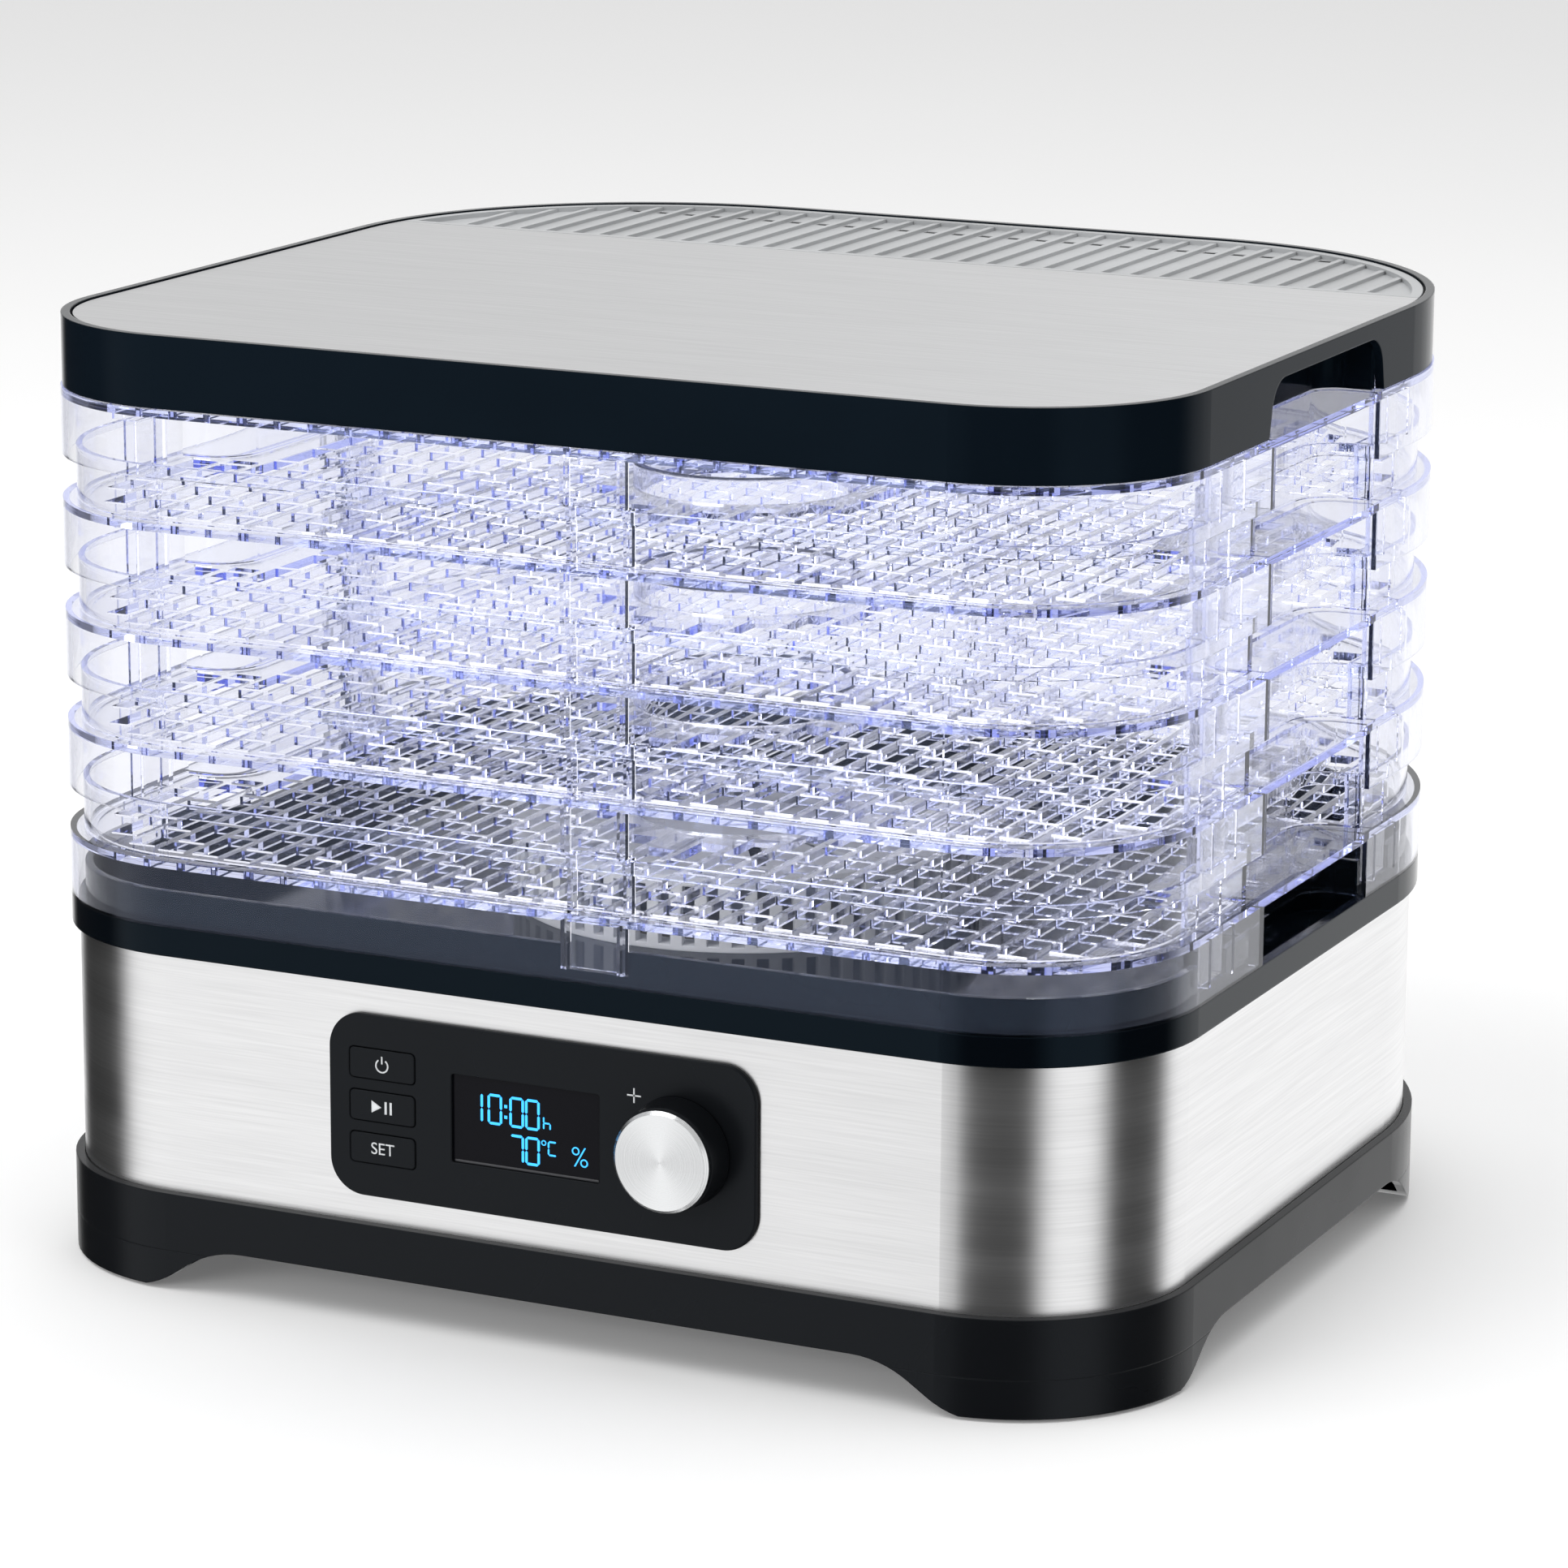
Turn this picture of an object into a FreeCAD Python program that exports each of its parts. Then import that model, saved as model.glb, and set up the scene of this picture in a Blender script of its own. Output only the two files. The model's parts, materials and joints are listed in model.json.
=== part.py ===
"""Food dehydrator with five stacking trays, a lid and a fan-heated base.

Units are millimetres. +Z is up, the front (control panel) faces -Y, and the origin is the
middle of the footprint on the table. Every size comes from the Dims sheet.
"""
import FreeCAD, Part
import math
import os
import re
from FreeCAD import Placement, Rotation, Vector
from Sketcher import Constraint

DIMS = {
    # Plan of the housing, as drawn at the lid's outer face.
    "lid_width": 345.0,
    "lid_depth": 312.0,
    "front_radius": 52.5,
    "rear_radius": 100.0,
    # Heights of the stack.
    "ledge_level": 107.5,
    "tray_count": 5,
    "tray_pitch": 32.1,
    "skirt_drop": 19.2,
    "lid_height": 20.4,
    "stack_gap": 0.3,
    # Trays.
    "tray_wall": 1.8,
    "tray_overhang": 0.5,
    "floor_thick": 2.5,
    "wall_inset": 3.5,
    "wall_rise": 15.7,
    "mesh_inset": 7.0,
    "mesh_pitch_x": 11.2,
    "mesh_pitch_y": 22.4,
    "mesh_bar": 2.8,
    "ring_radius": 33.0,
    "ring_rise": 7.5,
    "ring_wall": 2.6,
    "post_width": 19.0,
    "post_depth": 4.7,
    "front_post_x": 16.0,
    "side_post_y": -86.0,
    "rear_post_y": 44.0,
    "post_room": 0.5,
    # Hand grips in both sides.
    "grip_width": 84.0,
    "grip_centre": -14.0,
    "grip_depth": 18.0,
    "grip_corner": 8.0,
    # Lid.
    "lid_wall": 2.6,
    "lid_deck": 1.8,
    "lid_deck_drop": 3.0,
    "lid_grip_width": 91.0,
    "lid_grip_corner": 10.0,
    "plate_inset": 3.4,
    "plate_thick": 0.8,
    "plate_drop": 0.4,
    "screw_radius": 2.8,
    "lid_screw_head": 1.6,
    "lid_screw_x": 110.0,
    "lid_screw_y": 59.0,
    "vent_front": 72.5,
    "vent_gap": 0.4,
    "vent_border": 3.2,
    "vent_height": 2.6,
    "vent_floor": 1.2,
    "rib_count": 33,
    "rib_pitch": 9.3,
    "rib_wall": 2.0,
    "rib_drop": 0.4,
    "slot_row": 136.0,
    "slot_width": 5.6,
    "slot_length": 3.2,
    # Base tub.
    "rim_level": 99.0,
    "rim_wall": 2.6,
    "tub_floor": 2.0,
    "lip_rise": 9.5,
    "lip_wall": 2.2,
    # Steel band and bottom shell.
    "band_inset": 1.8,
    "band_wall": 0.8,
    "band_level": 24.0,
    "band_window_edge": 4.0,
    "shell_overhang": 1.0,
    "shell_wall": 2.6,
    "shell_top": 29.0,
    "shell_shelf": 5.0,
    "foot_clear": 1.0,
    "foot_floor": 4.0,
    "foot_split": 12.0,
    "foot_front": 48.0,
    "foot_rear": 75.0,
    "arch_level": 14.0,
    "arch_slope": 21.0,
    "cover_thick": 2.5,
    "intake_pitch": 12.0,
    "intake_radius": 3.0,
    "pad_radius": 8.0,
    "pad_place": 0.55,
    "cover_screw_x": 124.0,
    "cover_screw_y": 103.0,
    "cover_screw_head": 1.4,
    # Control panel on the front of the band.
    "panel_level": 63.6,
    "panel_width": 132.6,
    "panel_height": 53.0,
    "panel_corner": 10.5,
    "panel_thick": 3.0,
    "panel_proud": 1.6,
    "panel_step": 4.5,
    "panel_edge": 0.6,
    "button_x": -49.3,
    "button_width": 20.4,
    "button_height": 8.6,
    "button_pitch": 12.3,
    "button_corner": 1.2,
    "button_gap": 0.3,
    "button_foot": 1.4,
    "button_proud": 0.2,
    "screen_x": -4.5,
    "screen_width": 46.0,
    "screen_height": 25.6,
    "screen_recess": 0.9,
    "screen_thick": 1.0,
    "module_thick": 5.0,
    "knob_x": 43.0,
    "knob_radius": 15.6,
    "knob_front_radius": 14.9,
    "knob_length": 9.6,
    "knob_gap": 0.5,
    "knob_edge": 0.6,
    "cap_radius": 14.4,
    "cap_thick": 2.0,
    "cap_chamfer": 0.9,
    "shaft_radius": 3.0,
    "shaft_length": 8.0,
    "shaft_gap": 0.05,
    "shaft_room": 0.5,
    # Control board and the parts on it.
    "board_back": 7.5,
    "board_thick": 1.6,
    "board_edge": 8.0,
    "board_half_height": 21.0,
    "encoder_side": 13.0,
    "encoder_depth": 6.0,
    "switch_side": 6.0,
    "switch_depth": 5.0,
    # Airflow, centred a little in front of the middle of the trays.
    "air_y": -25.0,
    "duct_radius": 60.0,
    "duct_wall": 2.0,
    "duct_level": 48.0,
    "cage_radius": 68.0,
    "cage_wall": 3.0,
    "cage_height": 20.5,
    "cage_edge": 1.6,
    "fin_count": 60,
    "cap_skin": 1.5,
    "cap_slot_count": 12,
    "cap_slot_width": 4.0,
    "fan_radius": 55.0,
    "fan_level": 60.0,
    "fan_height": 14.0,
    "blade_count": 7,
    "hub_radius": 15.0,
    "motor_radius": 22.0,
    "motor_height": 24.0,
    "axle_radius": 3.0,
    "axle_gap": 0.05,
    "axle_depth": 17.0,
    "axle_end_gap": 1.0,
    "fan_clear": 3.0,
    "blade_width": 22.0,
    "blade_thick": 1.8,
    "blade_pitch": 28.0,
    "bracket_thick": 4.0,
    "heater_level": 82.0,
    "mica_height": 10.0,
    "mica_thick": 1.2,
    "coil_radius": 20.0,
    "coil_pitch": 14.0,
    "coil_wire": 1.4,
    "fuse_radius": 2.2,
    "fuse_length": 14.0,
    "sensor_radius": 2.5,
    "sensor_length": 12.0,
    # Mains side, at the rear left and right.
    "power_x": 80.0,
    "power_y": 20.0,
    "power_width": 60.0,
    "power_depth": 70.0,
    "power_rise": 8.0,
    "pillar_radius": 3.0,
    "gland_x": -86.25,
    "gland_level": 40.0,
    "gland_radius": 9.0,
    "gland_neck": 6.9,
    "gland_gap": 0.1,
    "gland_bore": 3.6,
    "gland_inside": 8.0,
    "gland_taper": 2.0,
}

CORNERS = ((-1, -1), (1, -1), (-1, 1), (1, 1))

doc = FreeCAD.newDocument("food_dehydrator")
sheet = doc.addObject("Spreadsheet::Sheet", "Dims")
PIECES = {}


def fill_sheet():
    """Write every driving dimension into the sheet with its alias."""
    for row, (alias, value) in enumerate(DIMS.items(), start=1):
        sheet.set(f"A{row}", alias)
        sheet.set(f"B{row}", str(value))
        sheet.setAlias(f"B{row}", alias)
    doc.recompute()


def bound(text):
    """The expression with each alias addressed through the sheet."""
    return re.sub(r"[a-z_]\w*", lambda m: f"Dims.{m[0]}" if m[0] in DIMS else m[0], text)


def value_of(text):
    """The number that an expression over the aliases gives."""
    return float(sheet.evalExpression(text))


fill_sheet()
dim = {alias: value_of(alias) for alias in DIMS}

STACK_TOP = "(ledge_level + skirt_drop + (tray_count - 1) * tray_pitch)"
POST_STOP = "(wall_rise + stack_gap - tray_pitch)"
FACE = "(lid_depth / 2 - band_inset)"
PANEL_FRONT = f"({FACE} + panel_proud)"
KNOB_FRONT = f"({PANEL_FRONT} + knob_gap + knob_length + cap_thick)"


# ---------------------------------------------------------------- helpers: document objects

def register(piece, name):
    """Name a finished sub-part; the name is its node and its file."""
    piece.Label = name
    PIECES[name] = piece
    return piece


def solid(name, shape, at=Vector()):
    """A sub-part whose shape is set from Part's own functions."""
    piece = doc.addObject("Part::Feature", name)
    piece.Shape = shape
    piece.Placement = Placement(at, Rotation()).multiply(piece.Placement)
    return register(piece, name)


def primitive(kind, name, placement=None, **sizes):
    """A Part primitive with its sizes bound to the sheet, placed by expressions."""
    thing = doc.addObject(f"Part::{kind}", name)
    for prop, text in sizes.items():
        thing.setExpression(prop, bound(text))
    for axis, text in (placement or {}).items():
        thing.setExpression(f"Placement.Base.{axis}", bound(text))
    return thing


def group(name, members):
    """Identical small pieces that share one node as separate solids."""
    compound = doc.addObject("Part::Compound", name)
    compound.Links = members
    return register(compound, name)


def new_body(name):
    """An empty PartDesign body that becomes the sub-part of that name."""
    return register(doc.addObject("PartDesign::Body", name), name)


def sketch_on(body, role, level, x="0", y="0"):
    """An empty sketch on one of the body's origin planes, moved along and across it."""
    sketch = body.newObject("Sketcher::SketchObject", f"{body.Name}_sketch")
    plane = next(f for f in body.Origin.OriginFeatures if f.Role == role)
    sketch.AttachmentSupport = [(plane, "")]
    sketch.MapMode = "FlatFace"
    for axis, text in (("x", x), ("y", y), ("z", level)):
        sketch.setExpression(f"AttachmentOffset.Base.{axis}", bound(text))
    return sketch


def name_constraint(sketch, constraint, name, text):
    """Add a dimension to a sketch and bind it to the sheet."""
    index = sketch.addConstraint(constraint)
    sketch.renameConstraint(index, name)
    sketch.setExpression(f"Constraints.{name}", bound(text))


def draw_rounded(sketch, width, depth, low, high=None):
    """A centred rectangle with arcs of radius low at its lower corners and high at its upper."""
    high = high or low
    half_x, half_y = value_of(width) / 2, value_of(depth) / 2
    r_low, r_high = value_of(low), value_of(high)
    corners = [(half_x, -half_y, r_low, -90), (half_x, half_y, r_high, 0),
               (-half_x, half_y, r_high, 90), (-half_x, -half_y, r_low, 180)]
    arcs = []
    for x, y, radius, start in corners:
        centre = Vector(x - math.copysign(radius, x), y - math.copysign(radius, y), 0)
        circle = Part.Circle(centre, Vector(0, 0, 1), radius)
        arcs.append(Part.ArcOfCircle(circle, math.radians(start), math.radians(start + 90)))
    lines = [Part.LineSegment(arcs[i - 1].EndPoint, arcs[i].StartPoint) for i in range(4)]
    for piece in lines + arcs:
        sketch.addGeometry(piece, False)
    for i in range(4):
        sketch.addConstraint(Constraint("Tangent", i, 2, 4 + i, 1))
        sketch.addConstraint(Constraint("Tangent", 4 + i, 2, (i + 1) % 4, 1))
        sketch.addConstraint(Constraint("Vertical" if i % 2 else "Horizontal", i))
    sketch.addConstraint(Constraint("Equal", 4, 7))
    sketch.addConstraint(Constraint("Equal", 5, 6))
    sides = (("right", "DistanceX", -1, 1, 1, 1, half_x, width),
             ("left", "DistanceX", 3, 1, -1, 1, half_x, width),
             ("top", "DistanceY", -1, 1, 2, 1, half_y, depth),
             ("bottom", "DistanceY", 0, 1, -1, 1, half_y, depth))
    for name, kind, g1, p1, g2, p2, size, text in sides:
        name_constraint(sketch, Constraint(kind, g1, p1, g2, p2, size), name, f"({text}) / 2")
    name_constraint(sketch, Constraint("Radius", 4, r_low), "low_radius", low)
    name_constraint(sketch, Constraint("Radius", 5, r_high), "high_radius", high)
    return sketch


def draw_circle(sketch, radius, x="0", y="0"):
    """A circle about a point of the sketch."""
    size = value_of(radius)
    centre = Vector(value_of(x), value_of(y), 0)
    index = sketch.addGeometry(Part.Circle(centre, Vector(0, 0, 1), size), False)
    if centre.Length < 1e-9:
        sketch.addConstraint(Constraint("Coincident", index, 3, -1, 1))
    else:
        name_constraint(sketch, Constraint("DistanceX", -1, 1, index, 3, centre.x), f"x{index}", x)
        name_constraint(sketch, Constraint("DistanceY", -1, 1, index, 3, centre.y), f"y{index}", y)
    name_constraint(sketch, Constraint("Radius", index, size), f"radius{index}", radius)
    return sketch


def pad(body, sketch, length, reverse=False):
    """Extrude a sketch along the plane's normal, or against it."""
    feature = body.newObject("PartDesign::Pad", f"{body.Name}_pad")
    feature.Profile = sketch
    feature.setExpression("Length", bound(length))
    feature.Reversed = reverse
    doc.recompute()
    return feature


def pocket(body, sketch, length, reverse=False):
    """Cut a sketch into the body and make sure that it took material away."""
    before = body.Shape.Volume
    feature = body.newObject("PartDesign::Pocket", f"{body.Name}_pocket")
    feature.Profile = sketch
    feature.setExpression("Length", bound(length))
    feature.Reversed = reverse
    doc.recompute()
    if not body.Shape.Volume < before - 1e-6:
        raise RuntimeError(f"{feature.Name} cut nothing")
    return feature


def edges_at(shape, test):
    """Names of the edges whose middle passes the test."""
    found = []
    for index, edge in enumerate(shape.Edges, start=1):
        middle = edge.valueAt((edge.FirstParameter + edge.LastParameter) / 2)
        if test(middle, edge):
            found.append(f"Edge{index}")
    return found


def dress(body, kind, size, test):
    """Fillet or chamfer the edges of a body's tip that pass the test."""
    tip = body.Tip
    names = edges_at(tip.Shape, test)
    feature = body.newObject(f"PartDesign::{kind}", f"{body.Name}_{kind.lower()}")
    feature.Base = (tip, names)
    feature.setExpression("Radius" if kind == "Fillet" else "Size", bound(size))
    doc.recompute()
    return feature


# ---------------------------------------------------------------- helpers: plan outlines

def rounded_wire(corners, lift=lambda x, y: Vector(x, y, 0)):
    """A closed wire through (x, y, radius) corners, each rounded by a tangent arc."""
    spans = []
    for i, (x, y, radius) in enumerate(corners):
        here = Vector(x, y, 0)
        back = (Vector(*corners[i - 1][:2], 0) - here).normalize()
        ahead = (Vector(*corners[(i + 1) % len(corners)][:2], 0) - here).normalize()
        half = back.getAngle(ahead) / 2
        reach = radius / math.tan(half)
        middle = here + (back + ahead).normalize() * (radius / math.sin(half) - radius)
        spans.append((here + back * reach, middle, here + ahead * reach, radius))
    edges = []
    for i, (start, middle, end, radius) in enumerate(spans):
        following = spans[(i + 1) % len(spans)][0]
        start, middle, end, following = (lift(p.x, p.y) for p in (start, middle, end, following))
        if radius > 0:
            edges.append(Part.Arc(start, middle, end).toShape())
        if end.distanceToPoint(following) > 1e-6:
            edges.append(Part.LineSegment(end, following).toShape())
    return Part.Wire(edges)


def plan(inset, grips=False):
    """The housing's outline, inset by a distance, with or without the two hand grips."""
    x = dim["lid_width"] / 2 - inset
    y = dim["lid_depth"] / 2 - inset
    front = dim["front_radius"] - inset
    rear = dim["rear_radius"] - inset
    right = []
    if grips:
        low = dim["grip_centre"] - dim["grip_width"] / 2 - inset
        high = dim["grip_centre"] + dim["grip_width"] / 2 + inset
        inner = x - dim["grip_depth"]
        corner = dim["grip_corner"] + inset
        right = [(x, low, 0), (inner, low, corner), (inner, high, corner), (x, high, 0)]
    left = [(-px, py, r) for px, py, r in reversed(right)]
    return rounded_wire([(x, -y, front)] + right + [(x, y, rear), (-x, y, rear)] + left
                        + [(-x, -y, front)])


def prism(wires, low, high):
    """A solid between two levels, its first wire outside and the others holes."""
    face = Part.makeFace(wires, "Part::FaceMakerBullseye")
    face.translate(Vector(0, 0, low))
    return face.extrude(Vector(0, 0, high - low))


def ring(outer, inner, low, high, grips=False):
    """A wall of the housing between two insets."""
    return prism([plan(outer, grips), plan(inner, grips)], low, high)


def block(x, y, z):
    """A box from its three (low, high) spans."""
    return Part.makeBox(x[1] - x[0], y[1] - y[0], z[1] - z[0], Vector(x[0], y[0], z[0]))


def tube(outer, inner, low, high, x=0.0, y=0.0):
    """A round wall about a vertical axis."""
    shell = Part.makeCylinder(outer, high - low, Vector(x, y, low))
    return shell.cut(Part.makeCylinder(inner, high - low, Vector(x, y, low)))


def turned(shape, angle, x=0.0, y=0.0):
    """A shape turned about the vertical axis through the origin, then moved to (x, y)."""
    shape.rotate(Vector(), Vector(0, 0, 1), angle)
    shape.translate(Vector(x, y, 0))
    return shape


def soften(shape, radius, test):
    """Fillet the edges of a shape whose middle passes the test."""
    edges = [shape.Edges[int(name[4:]) - 1] for name in edges_at(shape, test)]
    return shape.makeFillet(radius, edges)


# ---------------------------------------------------------------- trays

def post(x, y, turn, wall, low, high):
    """A hollow stacking post against the inside of a wall, open below."""
    width, depth, skin = dim["post_width"], dim["post_depth"], dim["tray_wall"]
    shell = block((-width / 2, width / 2), (-wall / 2, depth), (low, high))
    core = block((-width / 2 + skin, width / 2 - skin), (wall / 2, depth - skin / 2), (low, high))
    return turned(shell.cut(core), turn, x, y)


def post_places(inset):
    """Where the stacking posts stand on a wall at this inset, and how far each is turned."""
    x = dim["lid_width"] / 2 - inset
    y = dim["lid_depth"] / 2 - inset
    places = [(dim["front_post_x"], -y, 0), (0, y, 180)]
    return places + [(side * x, dim[key], side * 90) for side in (1, -1)
                     for key in ("side_post_y", "rear_post_y")]


def post_row(inset, low, high):
    """The stacking posts on the inner face of a wall whose middle is at this inset."""
    wall = dim["tray_wall"] * 0.8
    return [post(x, y, turn, wall, low, high) for x, y, turn in post_places(inset)]


def post_seat(x, y, turn, low, high):
    """The notch that a hanging post drops into, with room all round."""
    half = dim["post_width"] / 2 + dim["post_room"]
    seat = block((-half, half), (-dim["post_room"], dim["post_depth"] + 2 * dim["lip_wall"]), (low, high))
    return turned(seat, turn, x, y)


def tray_frame():
    """One tray's clear wall, about its own floor level: skirt, flange, upright wall, posts."""
    out, skin = -dim["tray_overhang"], dim["tray_wall"]
    under = -dim["floor_thick"]
    wall = dim["wall_inset"]
    flange = prism([plan(out), plan(dim["mesh_inset"], True)], under, 0)
    skirt = ring(out, out + skin, -dim["skirt_drop"], under, True)
    upright = ring(wall, wall + skin, 0, dim["wall_rise"], True)
    hanging = post_row(out + skin / 2, value_of(POST_STOP), under)
    standing = post_row(wall + skin / 2, 0, dim["wall_rise"])
    return flange.multiFuse([skirt, upright] + hanging + standing).removeSplitter()


def mesh_slots(level):
    """Staggered slots of the tray floor, as wires, clear of the edge and of the ring."""
    field = Part.Face(plan(dim["mesh_inset"] + dim["mesh_bar"], True))
    half_x = (dim["mesh_pitch_x"] - dim["mesh_bar"]) / 2
    half_y = (dim["mesh_pitch_y"] - dim["mesh_bar"]) / 2
    keep_out = dim["ring_radius"] + dim["mesh_bar"] / 2
    columns = int(dim["lid_width"] / 2 / dim["mesh_pitch_x"])
    rows = int(dim["lid_depth"] / 2 / dim["mesh_pitch_y"]) + 1
    wires = []
    for column in range(-columns, columns + 1):
        x = column * dim["mesh_pitch_x"]
        stagger = dim["mesh_pitch_y"] / 2 * (column % 2)
        for row in range(-rows, rows + 1):
            y = row * dim["mesh_pitch_y"] + stagger
            slot = trimmed_slot(field, x, y, half_x, half_y)
            if slot is None:
                continue
            low, high = slot
            reach = [math.hypot(cx, cy - dim["air_y"]) for cx in (x - half_x, x, x + half_x)
                     for cy in (low, (low + high) / 2, high)]
            if min(reach) > keep_out:
                wires.append(slot_wire(x, low, high, half_x, level))
    return wires


def trimmed_slot(field, x, y, half_x, half_y):
    """The slot's span along Y, shortened until it lies inside the field, or None."""
    shortest = dim["mesh_bar"] * 1.5
    step = dim["mesh_bar"] / 2
    low, high = y - half_y, y + half_y
    inside = lambda py: all(field.isInside(Vector(px, py, 0), 1e-4, True)
                            for px in (x - half_x, x + half_x))
    while high - low > shortest and not inside(low):
        low += step
    while high - low > shortest and not inside(high):
        high -= step
    if high - low > shortest and inside(low) and inside(high) and inside((low + high) / 2):
        return low, high
    return None


def slot_wire(x, low, high, half_x, level):
    """One rectangular slot."""
    points = [Vector(x - half_x, low, level), Vector(x + half_x, low, level),
              Vector(x + half_x, high, level), Vector(x - half_x, high, level)]
    return Part.makePolygon(points + points[:1])


def tray_mesh():
    """One tray's slotted floor, about its own floor level, with a round hole for the collar."""
    air = Vector(0, dim["air_y"], 0)
    hole = Part.Wire(Part.Circle(air, Vector(0, 0, 1), dim["ring_radius"]).toShape())
    return prism([plan(dim["mesh_inset"], True), hole] + mesh_slots(0), -dim["floor_thick"], 0)


def tray_collar():
    """The open collar in the middle of a tray's floor, rounded at its top."""
    radius, skin, rise = dim["ring_radius"], dim["ring_wall"], dim["ring_rise"]
    collar = tube(radius, radius - skin, -dim["floor_thick"], rise, 0, dim["air_y"])
    return soften(collar, skin * 0.45, lambda p, e: p.z > rise - 1e-6)


def make_trays():
    """Five identical trays, one pitch apart."""
    frame, mesh, collar = tray_frame(), tray_mesh(), tray_collar()
    for number in range(1, int(dim["tray_count"]) + 1):
        level = dim["ledge_level"] + dim["skirt_drop"] + (number - 1) * dim["tray_pitch"]
        solid(f"tray_{number}_frame", frame, Vector(0, 0, level))
        solid(f"tray_{number}_mesh", mesh, Vector(0, 0, level))
        solid(f"tray_{number}_collar", collar, Vector(0, 0, level))


# ---------------------------------------------------------------- lid

def lid_opening(side, low, top):
    """The prism that opens the lid's wall at a hand grip, rounded at its upper corners."""
    half, corner = dim["lid_grip_width"] / 2, dim["lid_grip_corner"]
    middle = dim["grip_centre"]
    x = side * (dim["lid_width"] / 2 - dim["grip_depth"] / 2)
    corners = [(middle - half, low, 0), (middle + half, low, 0),
               (middle + half - corner / 3, top, corner), (middle - half + corner / 3, top, corner)]
    wire = rounded_wire(corners, lambda y, z: Vector(x, y, z))
    return Part.Face(wire).extrude(Vector(side * dim["grip_depth"], 0, 0))


def lid_pocket(side, low, high):
    """The wall behind a hand grip, which follows the trays' own grips."""
    notched = ring(0, dim["lid_wall"], low, high, True)
    x = sorted((side * (dim["lid_width"] / 2 - dim["lid_wall"]), side * dim["lid_width"] / 4))
    reach = dim["lid_grip_width"] / 2 + dim["lid_wall"]
    zone = block(x, (dim["grip_centre"] - reach, dim["grip_centre"] + reach), (low, high))
    return notched.common(zone)


def make_lid_frame():
    """Black lid: rim, deck under the plate, air opening, and the two hand grips."""
    low = value_of(STACK_TOP) + dim["stack_gap"]
    top = low + dim["lid_height"]
    deck_top = top - dim["lid_deck_drop"]
    deck_low = deck_top - dim["lid_deck"]
    rim = ring(0, dim["lid_wall"], low, top)
    deck = prism([plan(dim["lid_wall"])], deck_low, deck_top)
    air = prism([plan(dim["plate_inset"] + 3 * dim["lid_wall"])], deck_low, deck_top)
    front = dim["vent_front"] + dim["vent_border"] + dim["lid_wall"]
    span = dim["lid_width"] / 2
    air = air.common(block((-span, span), (front, span), (deck_low, deck_top)))
    rim = rim.cut(lid_opening(1, low, deck_low)).cut(lid_opening(-1, low, deck_low))
    pockets = [lid_pocket(side, low, deck_low) for side in (1, -1)]
    frame = rim.multiFuse([deck.cut(air)] + pockets).removeSplitter()
    solid("lid_frame", frame)


def make_lid_plate():
    """Brushed plate set into the lid's rim, ending in front of the vent."""
    body = new_body("lid_top_plate")
    level = f"{STACK_TOP} + stack_gap + lid_height - plate_drop - plate_thick"
    outline = sketch_on(body, "XY_Plane", level)
    draw_rounded(outline, "lid_width - 2 * plate_inset", "lid_depth - 2 * plate_inset",
                 "front_radius - plate_inset", "rear_radius - plate_inset")
    pad(body, outline, "plate_thick")
    behind = sketch_on(body, "XY_Plane", f"{level} + plate_thick", y="vent_front + lid_depth / 2")
    draw_rounded(behind, "lid_width * 1.1", "lid_depth", "vent_gap")
    pocket(body, behind, "plate_thick * 2")


def vent_slots(level):
    """The row of small air slots near the vent's rear edge, one between each two ribs."""
    first = -(dim["rib_count"] - 1) / 2
    wires = []
    for index in range(int(dim["rib_count"]) - 1):
        x = (first + index + 0.5) * dim["rib_pitch"]
        if abs(x) < dim["lid_width"] / 2 - dim["rear_radius"] * 0.55:
            low = dim["slot_row"] - dim["slot_length"] / 2
            wires.append(slot_wire(x, low, low + dim["slot_length"], dim["slot_width"] / 2, level))
    return wires


def make_lid_vent():
    """Light vent insert behind the plate: border, ribs and a row of slots."""
    top = value_of(STACK_TOP) + dim["stack_gap"] + dim["lid_height"] - dim["plate_drop"]
    low = top - dim["vent_height"]
    start = dim["vent_front"] + dim["vent_gap"]
    span = dim["lid_width"] / 2
    outer = dim["plate_inset"]
    border = outer + dim["vent_border"]
    behind = block((-span, span), (start, span), (low, top))
    inner = block((-span, span), (start + dim["vent_border"], span), (low, top))
    field = prism([plan(border)], low, top).common(inner)
    frame = prism([plan(outer)], low, top).common(behind).cut(field)
    floor = prism([plan(border)], low, low + dim["vent_floor"]).common(inner)
    for wire in vent_slots(low):
        floor = floor.cut(Part.Face(wire).extrude(Vector(0, 0, dim["vent_floor"])))
    first = -(dim["rib_count"] - 1) / 2
    ribs = []
    for index in range(int(dim["rib_count"])):
        x = (first + index) * dim["rib_pitch"]
        across = (x - dim["rib_wall"] / 2, x + dim["rib_wall"] / 2)
        rib = block(across, (start, span), (low, top - dim["rib_drop"]))
        ribs.append(rib.common(field))
    ribs = [rib for rib in ribs if rib.Volume > 1]
    solid("lid_vent", frame.multiFuse([floor] + ribs))


def make_lid_screws():
    """Four screw heads under the lid's deck, which hold the plate from below."""
    level = f"{STACK_TOP} + stack_gap + lid_height - lid_deck_drop - lid_deck - lid_screw_head"
    screws = []
    for index, (x, y) in enumerate(CORNERS):
        place = {"x": f"{x} * lid_screw_x", "y": f"{y} * lid_screw_y + air_y", "z": level}
        screws.append(primitive("Cylinder", f"lid_screw_{index}", place,
                                Radius="screw_radius", Height="lid_screw_head"))
    group("lid_screws", screws)


def make_lid():
    """The lid's frame, its plate, its vent and its screws."""
    make_lid_frame()
    make_lid_plate()
    make_lid_vent()
    make_lid_screws()


# ---------------------------------------------------------------- base

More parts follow.
